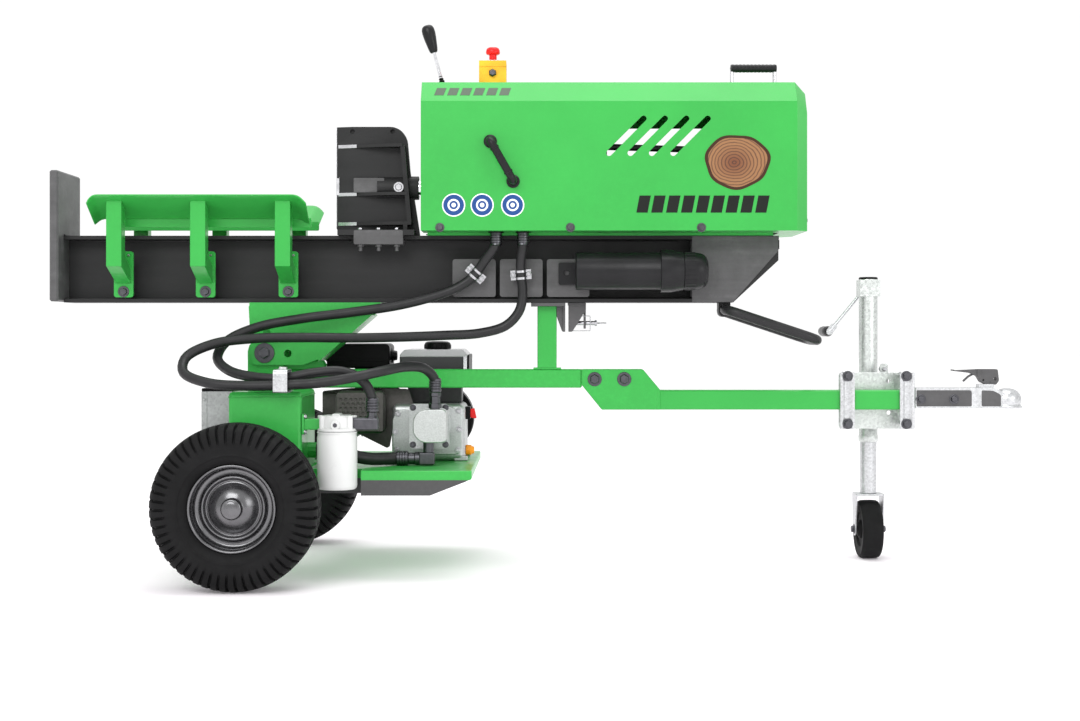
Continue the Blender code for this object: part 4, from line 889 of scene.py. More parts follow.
def rim(name, body, y, outward, node):
    """A pressed steel rim: rolled flange, gutter, raised bead, domed centre and hub cap."""
    profile = [
        (0.1012, 0.055), (0.101, 0.058), (0.1, 0.0594), (0.0982, 0.06), (0.0962, 0.0594),
        (0.0944, 0.0574), (0.0932, 0.054), (0.0918, 0.036), (0.0905, 0.031), (0.088, 0.0278),
        (0.085, 0.0268), (0.08, 0.0268), (0.077, 0.028), (0.0752, 0.031), (0.0738, 0.0345),
        (0.0722, 0.0364), (0.0702, 0.037), (0.0684, 0.0362), (0.067, 0.034), (0.0656, 0.03),
        (0.0644, 0.028), (0.063, 0.0272), (0.0616, 0.0276), (0.0604, 0.0262), (0.059, 0.0264),
        (0.056, 0.0285), (0.05, 0.0345), (0.044, 0.0395), (0.038, 0.0436), (0.033, 0.0462),
        (0.029, 0.0478), (0.0262, 0.0484), (0.025, 0.0492), (0.0247, 0.056), (0.024, 0.0602),
        (0.0222, 0.0634), (0.019, 0.065), (0.0175, 0.0646), (0.0165, 0.0652), (0.01, 0.0664),
        (0, 0.0668),
        (0, 0.064), (0.0157, 0.064), (0.0157, -0.058), (0.028, -0.058), (0.03, -0.04),
        (0.03, 0.03), (0.056, 0.018), (0.086, 0.016), (0.0895, -0.04), (0.0932, -0.054),
        (0.095, -0.0585), (0.0985, -0.06), (0.101, -0.058), (0.1012, -0.055),
        (0.0968, -0.05), (0.0968, 0.05)]
    centre = (WHEEL_X, y, WHEEL_RADIUS)
    add(turned(name, profile, centre, (0, outward, 0), 96, 0.0, 50.0), body, "rim", node)


for name, side in (("left", -1), ("right", 1)):
    tyre(name + "_tyre_lugged", name + "_wheel", side * HALF_TRACK, name + "_tyre")
    rim(name + "_rim_dished", name + "_wheel", side * HALF_TRACK, side, name + "_rim")


# ================================================================ machine cover
COVER_LEFT, COVER_RIGHT, COVER_NOSE = -0.281, 0.645, 0.674
COVER_BOTTOM, COVER_SHOULDER, COVER_TOP = 0.841, 1.1595, 1.2115
COVER_HALF, COVER_TOP_HALF, SHEET = 0.15, 0.11, 0.003
BEAM_TOP, BEAM_BOTTOM = 0.834, 0.666
HOSE_HOLES_X = (-0.097, -0.03)


def cover_shell(inset, left, floor):
    """The cover's outer form, shrunk by a wall thickness all round."""
    half, top_half = COVER_HALF - inset, COVER_TOP_HALF - inset * 0.5
    shoulder, top = COVER_SHOULDER - inset * 0.4, COVER_TOP - inset
    section = [(-half, floor), (-half, shoulder), (-top_half, top), (top_half, top), (half, shoulder),
        (half, floor)]
    bm = bmesh.new()
    rings = []
    for x, scale, drop in ((left, 1.0, 0.0), (COVER_RIGHT - inset * 0.4, 1.0, 0.0),
        (COVER_NOSE - inset, 0.8, 0.026)):
        rings.append([bm.verts.new((x, y * scale, z - (drop if z > 1.0 else 0.0))) for y, z in section])
    count = len(section)
    for ring, following in zip(rings, rings[1:]):
        for index in range(count):
            after = (index + 1) % count
            bm.faces.new((ring[index], ring[after], following[after], following[index]))
    bm.faces.new(rings[0])
    bm.faces.new(rings[-1])
    return new_object(bm, "shell", 0.0022, 3)


def capsule(start, end, radius, steps=8):
    """A slot outline with round ends between two points."""
    start, end = Vector(start), Vector(end)
    along = (end - start).normalized()
    base = math.atan2(along.y, along.x)
    outline = []
    for centre, offset in ((end, -math.pi / 2), (start, math.pi / 2)):
        for step in range(steps + 1):
            angle = base + offset + math.pi * step / steps
            outline.append(centre + radius * Vector((math.cos(angle), math.sin(angle))))
    return outline


def cover():
    """The folded cover with its slots, window and hose holes, and its grommets and bolts."""
    shell = cover_shell(0.0, COVER_LEFT, COVER_BOTTOM)
    inside = cover_shell(SHEET, COVER_LEFT - 0.02, COVER_BOTTOM + SHEET)
    rails = [block("rail", (COVER_LEFT + 0.01, low, BEAM_TOP + 0.0004),
            (COVER_RIGHT - 0.045, high, COVER_BOTTOM + 0.002))
        for low, high in ((-0.051, -0.044), (0.044, 0.051))]
    tools = [inside, block("gap", (COVER_LEFT - 0.02, -0.044, 0.8), (COVER_RIGHT - 0.03, 0.044, 0.86))]
    for number in range(4):
        x = 0.182 + number * 0.0526
        tools.append(slab("slot", capsule((x, 1.0315), (x + 0.085, 1.1165), 0.0072), "XZ", -0.2, -0.1))
    tools.append(slab("window", rounded_rect((0.19, 1.035), (0.47, 1.128), 0.01), "XZ", 0.1, 0.2))
    tools.append(slab("lever_slot", capsule((-0.25, -0.05), (-0.212, -0.05), 0.011), "XY", 1.19, 1.23))
    for x in HOSE_HOLES_X:
        tools.append(rod("hose_hole", (x, -0.1), "XY", 0.83, 0.86, 0.0165, 32))
    shell.modifiers.clear()
    shell = fuse(shell, *rails)
    cut(shell, *tools, bevel=0.0012)
    add(shell, "beam", "green", "machine_cover")
    grommets = [turned("grommet", [(0.0124, 0), (0.0195, 0), (0.0195, 0.0025), (0.016, 0.0035),
                (0.016, 0.005), (0.0124, 0.005)], (x, -0.1, 0.8385), UP, 32) for x in HOSE_HOLES_X]
    group("hose_grommets", grommets, "beam", "plastic")
    for side in (-1, 1):
        places = [(x, side * COVER_HALF, 0.8485) for x in (-0.234, 0.087, 0.409)]
        bolts(f"cover_bolts_{side + 1}", "beam", "dark_bolt", places, (0, side, 0), 0.0078, 0.005)
    bolts("cover_nose_bolts", "beam", "dark_bolt", [(COVER_NOSE, y, 0.87) for y in (-0.085, 0.085)],
        RIGHT, 0.0065, 0.0045)


def slope_piece(outline, thickness):
    """A thin decal on the near top chamfer; outline is in x and distance up the slope."""
    foot = Vector((0, -COVER_HALF, COVER_SHOULDER))
    up = (Vector((0, -COVER_TOP_HALF, COVER_TOP)) - foot).normalized()
    out = up.cross(Vector(RIGHT)).normalized()
    if out.y > 0:
        out = -out
    piece = slab("mark", outline, "XY", 0.0, thickness)
    turn = Matrix((Vector(RIGHT), up, out)).transposed().to_4x4()
    piece.data.transform(Matrix.Translation(foot) @ turn)
    return piece


def disc(centre, radius, height, hole=0.0, segments=48):
    """A flat disc or ring on the near face of the cover."""
    return turned("disc", [(hole, 0), (radius, 0), (radius, height), (hole, height)], centre, NEAR,
        segments)


def decals():
    """Plain marks where the machine carries its stickers: discs, a log slice and slanted bars."""
    face = -COVER_HALF
    rims, discs, dots = [], [], []
    for x in (-0.2, -0.13, -0.055):
        centre = (x, face - 0.0001, 0.9036)
        rims.append(disc(centre, 0.0285, 0.0004))
        discs.append(disc(centre, 0.0255, 0.0007))
        dots += [disc(centre, 0.015, 0.001, 0.0105, 40), disc(centre, 0.0055, 0.001, 0.0, 32)]
    group("sticker_rims", rims, "beam", "sticker_white")
    group("sticker_discs", discs, "beam", "sticker_blue")
    group("sticker_rings", dots, "beam", "sticker_white")

    bars = []
    wide, lean = 0.0275, 0.008
    for number in range(9):
        x = 0.249 + number * 0.0365
        bars.append(slab("bar", [(x, 0.885), (x + wide, 0.885), (x + wide + lean, 0.927),
                    (x + lean, 0.927)], "XZ", face - 0.0006, face - 0.0001))
    group("slanted_bars", bars, "beam", "sticker_dark")
    marks = []
    for number in range(6):
        x = -0.249 + number * 0.032
        marks.append(slope_piece([(x, 0.0195), (x + 0.0235, 0.0195), (x + 0.03, 0.045),
                    (x + 0.0065, 0.045)], 0.0005))
    group("chamfer_marks", marks, "beam", "sticker_grey")

    for name, size, depth, look in (("bark", 1.0, 0.0005, "bark"), ("log_end", 0.9, 0.0009, "wood")):
        outline = []
        for step in range(72):
            angle = math.tau * step / 72
            wobble = 1.0 + 0.03 * math.sin(3 * angle + 0.6) + 0.018 * math.sin(7 * angle)
            outline.append((0.497 + 0.08 * size * wobble * math.cos(angle),
                    1.0105 + 0.067 * size * wobble * math.sin(angle)))
        add(slab(name, outline, "XZ", face - depth, face - 0.0001), "beam", look)


def cover_handles():
    """The moulded handle on the near side and the ribbed one on top."""
    near = -COVER_HALF - 0.0004
    corners = [(-0.11, near, 1.06), (-0.11, near - 0.036, 1.06), (-0.054, near - 0.036, 0.962),
        (-0.054, near, 0.962)]
    path = rounded_path(corners, 0.012)
    grip = sweep("side_grip", path, 0.0098, sides=28)
    feet = [turned("foot", [(0, 0), (0.0165, 0), (0.0165, 0.003), (0.013, 0.006), (0, 0.006)],
            (x, near, z), NEAR, 36) for x, z in ((-0.11, 1.06), (-0.054, 0.962))]
    collars = []
    for share in (0.2, 0.8):
        spot = Vector(corners[1]).lerp(Vector(corners[2]), share)
        collars.append(band(spot, Vector(corners[2]) - Vector(corners[1]), 0.009, 0.0112, 0.0025))
    group("side_grip_moulded", [grip, *feet, *collars], "beam", "grip", "side_handle")

    top = COVER_TOP + 0.0004
    legs = [sweep("leg", rounded_path([(x, -0.05, top), (x, -0.05, 1.2552), (inner, -0.05, 1.2552)],
                0.01), 0.0048, sides=20) for x, inner in ((0.496, 0.52), (0.603, 0.579))]
    pads = [turned("pad", [(0, 0), (0.014, 0), (0.014, 0.002), (0.0085, 0.005), (0, 0.005)],
            (x, -0.05, top), UP, 28) for x in (0.496, 0.603)]
    group("top_handle_legs", legs + pads, "beam", "steel", "top_handle")
    ribs = [(0, 0)]
    for number in range(12):
        low = 0.002 + number * 0.0095
        ribs += [(0.0095, low), (0.0102, low + 0.0035), (0.0102, low + 0.006), (0.0095, low + 0.0093)]
    ribs += [(0.0085, 0.117), (0, 0.117)]
    add(turned("top_handle_grip", ribs, (0.491, -0.05, 1.2552), RIGHT, 28), "beam", "grip")


def stop_switch():
    """The yellow box of the emergency stop, its collar, gland, screws and red button."""
    x, y, z = -0.106, -0.05, 1.27
    box_piece = block("stop_box_yellow", (-0.14, -0.084, COVER_TOP + 0.0004), (-0.072, -0.016, z), 0.004,
        4)
    socket = rod("socket", (x, y), "XY", 1.25, 1.28, 0.0105)
    joint_line = [block("groove", (left, front, z - 0.0165), (right, back, z - 0.015))
        for left, front, right, back in ((-0.15, -0.09, -0.06, -0.0828), (-0.15, -0.0172, -0.06, -0.01),
            (-0.15, -0.09, -0.1388, -0.01), (-0.0732, -0.09, -0.06, -0.01))]
    cut(box_piece, socket, *joint_line)
    soften(box_piece, 0.003, 3)
    add(box_piece, "beam", "yellow", "stop_switch_box")
    collar = turned("stop_collar", [(0.0106, 0), (0.019, 0), (0.019, 0.003), (0.0175, 0.0045),
            (0.0106, 0.0045)], (x, y, z), UP, 40)
    add(collar, "beam", "bolt")
    gland = turned("cable_gland", [(0, 0), (0.008, 0), (0.008, 0.004), (0.01, 0.004), (0.01, 0.01),
            (0.007, 0.014), (0, 0.014)], (x, -0.0838, 1.238), NEAR, 6, 0.0006, 20.0)
    add(gland, "beam", "dark_bolt")
    screws = [turned("screw", [(0, 0), (0.0032, 0), (0.0026, 0.0012), (0, 0.0014)], (screw_x, screw_y, z),
            UP, 20) for screw_x in (-0.133, -0.079) for screw_y in (-0.077, -0.023)]
    group("stop_box_screws", screws, "beam", "bolt")
    button = turned("stop_mushroom", [(0, -0.008), (0.0095, -0.008), (0.0095, 0.019), (0.015, 0.02),
            (0.0172, 0.022), (0.0178, 0.025), (0.0172, 0.03), (0.0155, 0.0345), (0.012, 0.0372),
            (0.006, 0.0382), (0, 0.0384)], (x, y, z), UP, 48, 0.0, 50.0)
    add(button, "stop_push", "red", "stop_button")


def control_lever():
    """The valve lever's stem, knob and rubber boot."""
    pivot = Vector((-0.226, -0.05, 1.19))
    lean = Vector((-0.038, 0, 1.331 - 1.19)).normalized()
    neck = pivot + lean * 0.112
    stem = turned("lever_stem", [(0, -0.02), (0.0052, -0.02), (0.0052, 0.01), (0.0046, 0.02),
            (0.0042, 0.113), (0, 0.113)], pivot, lean, 24)
    add(stem, "valve_lever", "chrome", "control_lever")
    knob = turned("lever_knob", [(0, -0.003), (0.008, -0.003), (0.01, 0.0), (0.0118, 0.008),
            (0.0135, 0.02), (0.0155, 0.034), (0.0166, 0.048), (0.016, 0.057), (0.0135, 0.0635),
            (0.009, 0.067), (0, 0.0682)], neck, lean, 36, 0.0, 50.0)
    add(knob, "valve_lever", "grip")
    boot = [(0, -0.004)]
    for number in range(4):
        radius = 0.0098 - number * 0.0012
        boot += [(radius, 0.022 + number * 0.006), (radius - 0.0022, 0.025 + number * 0.006)]
    boot += [(0.005, 0.047), (0, 0.047)]
    add(turned("lever_boot", boot, pivot, lean, 28), "valve_lever", "plastic")


cover()
decals()
cover_handles()
stop_switch()
control_lever()


# ================================================================ beam and log trays
def beam_details():
    """Web plates on stand-offs, nose plates and weld beads on the beam."""
    plates = []
    for left, right in ((-0.2076, -0.0987), (-0.0886, 0.0192), (0.0296, 0.1367)):
        outline = rounded_rect((left, 0.6795), (right, 0.775), 0.007)
        plates.append(slab("web_plate", outline, "XZ", -0.058, -0.0535, 0.0008))
        for x in (left + 0.022, right - 0.022):
            plates.append(rod("stand_off", (x, 0.727), "XZ", -0.054, -0.0045, 0.007, 16))
    group("web_plates", plates, "beam", "plate")
    nose = [(0.3955, BEAM_BOTTOM + 0.001), (0.4985, BEAM_BOTTOM + 0.001), (0.6125, 0.796),
        (0.6125, BEAM_TOP - 0.001), (0.3955, BEAM_TOP - 0.001)]
    group("nose_plates", [slab("nose_plate", nose, "XZ", *on_side(side, 0.0512, 0.0524), 0.0004)
            for side in (-1, 1)], "beam", "plate")
    seams = []
    for side in (-1, 1):
        for z in (BEAM_BOTTOM + 0.0105, BEAM_TOP - 0.0105):
            seams.append(weld((-1.184, side * 0.0052, z), (0.364, side * 0.0052, z), 130, 0.0026, 0.0005,
                    2.6, waver=0.0003))
        for x, low in ((0.393, 0.68), (0.6135, 0.8)):
            seams.append(weld((x, side * 0.0512, low), (x, side * 0.0512, 0.824), 25, 0.0018, pitch=2.3))
    group("weld_beads", seams, "beam", "beam")
    foot_weld_z = BEAM_TOP + 0.0008
    add(weld((-1.185, -0.052, foot_weld_z), (-1.185, 0.052, foot_weld_z), 27, 0.0028, 0.0006, 2.1, 10,
            name="foot_weld"), "beam", "beam")


TRAY_ARMS_X = (-1.034, -0.828, -0.62)


def log_tray(name, side, node):
    """A bent sheet with flared ends on three box-section arms bolted to the beam's side."""
    top, foot = Vector((0, side * 0.1795, 0.9265)), Vector((0, side * 0.0735, 0.8755))
    back = Vector((0, side * 0.42, -0.9)).normalized()
    stations = [(-1.096, -1.101, 0.017), (-1.091, -1.096, 0.012), (-1.0855, -1.0905, 0.0066),
        (-1.08, -1.085, 0.0026), (-1.074, -1.077, 0.0005), (-1.066, -1.066, 0.0), (-0.596, -0.596, 0.0),
        (-0.588, -0.59, 0.0005), (-0.581, -0.585, 0.0025), (-0.574, -0.579, 0.0062),
        (-0.567, -0.572, 0.011), (-0.56, -0.564, 0.015)]
    bm = bmesh.new()
    rings = []
    rows = 9
    for number, (x_top, x_foot, drop) in enumerate(stations):
        ring = []
        ends = {0: 0.2, 1: 0.08, 2: 0.02, 9: 0.02, 10: 0.09, 11: 0.24}.get(number, 0.0)
        for row in range(rows):
            share = ends * 0.55 + (1 - ends * 0.55) * row / (rows - 1)
            point = top.lerp(foot, share) + back * drop
            point.x = x_top + (x_foot - x_top) * share
            ring.append(bm.verts.new(point))
        rings.append(ring)
    for ring, following in zip(rings, rings[1:]):
        for row in range(rows - 1):
            bm.faces.new((ring[row], ring[row + 1], following[row + 1], following[row]))
    sheet = new_object(bm, "sheet", 0.0, 2, 40.0)
    thick = sheet.modifiers.new("thickness", "SOLIDIFY")
    thick.thickness = 0.0032
    thick.offset = 0.0
    round_edges(sheet, 0.0008, 2, 50, False)
    lip = slab("lip", rounded_rect((-1.066, 0.854), (-0.56, 0.8775), 0.004), "XZ",
        *on_side(side, 0.07, 0.0732), 0.0006)
    group(name + "_sheet", [sheet, lip], "beam", "green", node)

    pieces = []
    arm = [(side * y, z) for y, z in ((0.157, 0.9145), (0.119, 0.8962), (0.119, 0.779), (0.06, 0.7545),
            (0.06, 0.7129), (0.157, 0.753))]
    for centre in TRAY_ARMS_X:
        pieces.append(slab("arm", arm, "YZ", centre - 0.019, centre + 0.019, 0.0022, 3))
        plate = rounded_rect((centre - 0.0245, 0.6785), (centre + 0.0245, 0.794), 0.007)
        pieces.append(slab("plate", plate, "XZ", *on_side(side, 0.053, 0.0605), 0.001))
        for x in (centre - 0.0195, centre + 0.0195):
            pieces.append(weld((x, side * 0.0625, 0.716), (x, side * 0.0625, 0.7534), 12, 0.0019))
    group(name + "_arms", pieces, "beam", "green")
    places = [(centre, side * 0.0605, 0.693) for centre in TRAY_ARMS_X]
    bolts(name + "_bolts", "beam", "dark_bolt", places, (0, side, 0), 0.0098, 0.0065)
    small = [(centre + 0.013, side * 0.0605, 0.784) for centre in TRAY_ARMS_X]
    bolts(name + "_small_bolts", "beam", "bolt", small, (0, side, 0), 0.0034, 0.003, False)


beam_details()
for side_name, side in (("left", -1), ("right", 1)):
    log_tray(side_name + "_tray", side, side_name + "_log_tray")


# ================================================================ wedge, rod, cylinder, valve
CYLINDER_Z, CYLINDER_LEFT, CYLINDER_RIGHT = 0.958, -0.235, 0.62
GIB_BOLTS_X = (-0.438, -0.3925, -0.347)


def wedge():
    """The splitting wedge: blade, ribs, base, ground edges that are partly painted highlight, pads, rod
    pin and gib plates.
    """
    front, back = -0.506, -0.293
    outline = filleted([(front, 0.856), (-0.496, 0.836), (back, 0.836), (-0.318, 1.0),
            (-0.328, 1.113, 0.044), (front, 1.113, 0.003)], 8)
    blade = slab("blade", outline, "XZ", -0.0125, 0.0125)
    cheeks = [slab("cut", [(front - 0.002, side * 0.0008), (-0.462, side * 0.0128), (-0.462, side * 0.03),
                (front - 0.002, side * 0.03)], "XY", 0.5, 1.2) for side in (-1, 1)]
    blade = cut(blade, *cheeks)
    ribs = []
    for low, high, end in ((1.059, 1.067, -0.334), (0.937, 0.945, -0.322), (0.862, 0.87, -0.312)):
        half = [(front + 0.006, 0.003), (-0.45, 0.018), (-0.38, 0.044), (-0.34, 0.051), (end, 0.052)]
        rib = [(x, -y) for x, y in half] + [(x, y) for x, y in reversed(half)]
        ribs.append(slab("rib", rib, "XY", low, high))
    spine = slab("spine", [(-0.322, 0.866), (-0.311, 0.866), (-0.329, 1.063), (-0.34, 1.063)], "XZ",
        -0.05, 0.05)
    hub = rod("hub", (0, CYLINDER_Z), "YZ", -0.4, -0.296, 0.03, 40)
    base = block("base", (-0.495, -0.0755, BEAM_TOP + 0.0004), (-0.303, 0.0755, 0.848))
    skirts = [block("skirt", (-0.332, low, 0.846), (-0.322, high, 0.866))
        for low, high in ((-0.052, -0.044), (0.044, 0.052))]
    bore = rod("bore", (0, CYLINDER_Z), "YZ", -0.35, -0.27, 0.0206, 40)
    holes = [rod("hole", (x, 1.101), "XZ", side * 0.1, side * 0.004, 0.006, 24) for x in (-0.464, -0.362)
        for side in (-1, 1)]
    body = cut(fuse(blade, *ribs, spine, hub, base, *skirts), bore, *holes, bevel=0.0013)
    add(body, "ram", "beam", "wedge_head")

    # partly painted highlight: bright bare steel on the ribs' tapered fronts, the blade's nose and the
    # strips beside it, standing both for ground steel and for the light the taper catches
    tips = []
    for level in (1.063, 0.941, 0.866):
        for side in (-1, 1):
            edge = [(front + 0.005, side * 0.0022), (-0.453, side * 0.0168), (-0.453, side * 0.0188),
                (front + 0.005, side * 0.0042)]
            tips.append(slab("tip", edge, "XY", level - 0.0043, level + 0.0043, 0.0004))
    nose = slab("nose", [(front - 0.0006, 0.858), (front + 0.0014, 0.858), (front + 0.0014, 1.111),
            (front - 0.0006, 1.111)], "XZ", -0.0016, 0.0016, 0.0004)
    latches = [slab("edge", [(-0.5045, 0.9395), (-0.4985, 0.9395), (-0.4985, 0.983), (-0.5045, 0.983)],
            "XZ", *on_side(side, 0.0035, 0.0062), 0.0004) for side in (-1, 1)]
    group("ground_edges_painted_highlight", [*tips, nose, *latches], "ram", "steel")
    pads = [slab("pad", rounded_rect((-0.46, 0.9452), (-0.382, 0.982), 0.002), "XZ",
            *on_side(side, 0.012, 0.025), 0.0008) for side in (-1, 1)]
    group("wedge_side_pads", pads, "ram", "plate")
    pin_ends = []
    for side in (-1, 1):
        pin_ends.append(turned("pin_end", [(0, 0), (0.0085, 0), (0.0085, 0.006), (0.007, 0.008),
                    (0, 0.008)], (-0.345, side * 0.0285, CYLINDER_Z), (0, side, 0), 32))
        pin_ends.append(band((-0.345, side * 0.0325, CYLINDER_Z), (0, side, 0), 0.0088, 0.0125, 0.003))
    group("rod_pin_ends", pin_ends, "ram", "steel")

    gibs = []
    outline = rounded_rect((-0.4545, 0.811), (-0.3305, 0.8472), 0.004)
    for side in (-1, 1):
        gibs.append(slab("gib", outline, "XZ", *on_side(side, 0.0528, 0.0757), 0.0012))
        low, high = on_side(side, 0.03, 0.056)
        gibs.append(block("under", (-0.454, low, 0.8112), (-0.331, high, BEAM_TOP - 0.0094), 0.0008))
        for x in GIB_BOLTS_X:
            gibs += [hex_head((x, side * 0.0645, 0.8112), (0, 0, -1), 0.0085, 0.0065),
                rod("stud", (x, side * 0.0645), "XY", 0.805, 0.7945, 0.0044, 20, 0.0008)]
    group("gib_plates", gibs, "ram", "plate")
    cap_screws = []
    for side in (-1, 1):
        for x in GIB_BOLTS_X:
            cap_screws += bolt((x, side * 0.0645, 0.848), UP, 0.0072, 0.005, False)
    group("gib_screws", cap_screws, "ram", "bolt")


def cylinder():
    """The hydraulic cylinder with welded ports and gland, its rod, and the control valve."""
    low, high = CYLINDER_LEFT, CYLINDER_RIGHT
    barrel = turned("barrel", [
        (0.0206, low), (0.054, low), (0.058, low + 0.004), (0.058, -0.192), (0.055, -0.188),
        (0.055, high - 0.028), (0.0562, high - 0.026), (0.0562, high - 0.018),
        (0.055, high - 0.016), (0.055, high - 0.003), (0.052, high), (0, high),
        (0, 0.59), (0.0475, 0.59), (0.0475, -0.19), (0.0206, -0.19)],
        (0, 0, CYLINDER_Z), RIGHT, 72)
    feet = [block("foot", (x, -0.035, BEAM_TOP + 0.0004), (x + 0.04, 0.035, 0.912), 0.002)
        for x in (-0.175, 0.54)]
    ports = [turned("port", [(0, 0), (0.014, 0), (0.014, 0.016), (0, 0.016)],
            (x, -0.018, CYLINDER_Z + 0.05), (0, -0.25, 1), 32) for x in (-0.205, 0.56)]
    group("cylinder_barrel", [barrel, *feet, *ports], "beam", "beam", "hydraulic_cylinder")
    seal = turned("rod_seal", [(0.0207, 0), (0.03, 0), (0.03, -0.003), (0.024, -0.0045),
            (0.0207, -0.0045)], (low, 0, CYLINDER_Z), RIGHT, 48)
    add(seal, "beam", "plastic")
    rod_profile = [(0, -0.349), (0.018, -0.349), (0.02, -0.347), (0.02, 0.54), (0.0469, 0.54),
        (0.0469, 0.575), (0, 0.575)]
    chromed_rod = turned("rod_chromed", rod_profile, (0, 0, CYLINDER_Z), RIGHT, 64)
    add(chromed_rod, "ram", "chrome", "piston_rod")

    valve = block("valve", (-0.262, -0.085, 1.1), (-0.12, -0.015, 1.165), 0.004, 3)
    pedestal = block("pedestal", (-0.215, -0.03, CYLINDER_Z + 0.0595), (-0.165, 0.03, 1.102), 0.002)
    cap = turned("cap", [(0, 0), (0.02, 0), (0.02, 0.02), (0.016, 0.026), (0, 0.026)],
        (-0.12, -0.05, 1.132), RIGHT, 36)
    relief = turned("relief", [(0, 0), (0.011, 0), (0.011, 0.008), (0.0085, 0.01), (0.0085, 0.022),
            (0, 0.024)], (-0.165, -0.085, 1.14), NEAR, 6, 0.0006, 20.0)
    group("spool_valve", [valve, pedestal, cap, relief], "beam", "cast", "control_valve")
    links = []
    for x, start in zip(HOSE_HOLES_X, (-0.14, -0.125)):
        path = rounded_path([(start, -0.06, 1.099), (start, -0.06, 1.04), (x, -0.1, 0.93),
                (x, -0.1, 0.8445)], 0.05, False, 10)
        links.append(sweep("inner_hose", path, 0.0105, sides=20))
    pipe = rounded_path([(-0.2, -0.086, 1.125), (-0.2, -0.112, 1.125), (-0.12, -0.112, 1.06),
            (0.52, -0.112, 1.04), (0.56, -0.09, 1.03), (0.56, -0.03, 1.018)], 0.02, False, 8)
    links.append(sweep("return_pipe", pipe, 0.008, sides=16))
    group("inner_hoses", links, "beam", "rubber")


wedge()
cylinder()


# ================================================================ pivot, latch, handle, canister
def pivot_and_latch():
    """The pivot bolt, the post with its saddle, the spring latch and the tilt handle."""
    start = (-0.678, 0, 0.539)
    pin = turned("pivot_pin", [(0, -0.074), (0.0094, -0.074), (0.0094, 0.074), (0, 0.074)], start, AWAY,
        40)
    washers = [turned("pivot_washer", [(0.0095, 0.072), (0.0252, 0.072), (0.0252, 0.0742),
                (0.0245, 0.0752), (0.0095, 0.0752)], start, (0, side, 0), 48) for side in (-1, 1)]
    heads = [hex_head((-0.678, side * 0.0752, 0.539), (0, side, 0), 0.0145, 0.0088) for side in (-1, 1)]
    group("pivot_pin_and_washers", [pin, *washers, *heads], "beam", "dark_bolt", "pivot_bolt")

    post = block("post", (0.006, -0.0245, 0.4974), (0.055, 0.0245, 0.658), 0.003, 3)
    base = slab("post_foot", rounded_rect((-0.004, -0.0245), (0.066, 0.0245), 0.002), "XY", 0.4974, 0.501)
    group("rest_post", [post, base], "chassis", "green", "support_post")
    saddle = block("saddle", (-0.01, -0.05, 0.6565), (0.0765, 0.05, BEAM_BOTTOM - 0.0004), 0.001)
    lip = block("lip", (0.0705, -0.03, 0.592), (0.0765, 0.03, 0.66))
    lip = cut(lip, rod("hole", (0, 0.614), "YZ", 0.06, 0.09, 0.0065, 24), bevel=0.0008)
    rib = [(0.0546, 0.658), (0.0546, 0.634), (0.069, 0.594), (0.0715, 0.594), (0.0715, 0.658)]
    ribs = [slab("rib", rib, "XZ", *on_side(side, 0.0225, 0.026), 0.0006) for side in (-1, 1)]
    group("rest_saddle", [saddle, lip, *ribs], "chassis", "plate")

    cheek = [(0.0856, 0.665), (0.0856, 0.5925), (0.0945, 0.5925), (0.111, 0.618), (0.129, 0.648),
        (0.129, 0.665)]
    cheeks = [slab("cheek", cheek, "XZ", *on_side(side, 0.0225, 0.0265), 0.0006) for side in (-1, 1)]
    tongue = block("tongue", (0.0855, -0.026, 0.592), (0.093, 0.026, 0.661))
    tongue = cut(tongue, rod("hole", (0, 0.614), "YZ", 0.08, 0.1, 0.0062, 24), bevel=0.0008)
    guide = block("guide", (0.124, -0.018, 0.6), (0.129, 0.018, 0.661))
    guide = cut(guide, rod("hole", (0, 0.614), "YZ", 0.12, 0.14, 0.0062, 24), bevel=0.0008)
    top = block("top", (0.084, -0.03, 0.6588), (0.129, 0.03, BEAM_BOTTOM - 0.0004), 0.001)
    wire_path = rounded_path([(0.096, -0.021, 0.5945), (0.14, -0.021, 0.5945), (0.14, -0.021, 0.632),
        (0.118, -0.021, 0.632)], 0.003)
    wire = sweep("spring_wire", wire_path, 0.001, sides=10)
    group("latch_plates", [*cheeks, tongue, guide, top], "beam", "plate", "latch_bracket")
    add(wire, "beam", "bolt")
    pin = turned("latch_rod", [(0, 0), (0.004, 0), (0.0055, 0.003), (0.0055, 0.0654), (0.0075, 0.0654),
            (0.0075, 0.07), (0.005, 0.0712), (0, 0.0712)], (0.0868, 0, 0.614), RIGHT, 32)
    ring_path = rounded_path([(0.154, 0, 0.614), (0.168, -0.014, 0.614), (0.184, 0, 0.614),
        (0.168, 0.014, 0.614)], 0.0065, True, 8)
    ring = sweep("pull_ring", ring_path, 0.0016, True, 12)
    group("latch_rod_and_ring", [pin, ring], "beam_latch_pin", "bolt", "latch_pin")

    path = rounded_path([(0.481, -0.08, 0.647), (0.71, -0.08, 0.571), (0.71, 0.08, 0.571),
            (0.481, 0.08, 0.647)], 0.034, True, 12)
    add(sweep("lift_handle", path, 0.0125, True, 28), "beam", "rubber", "tilt_handle")


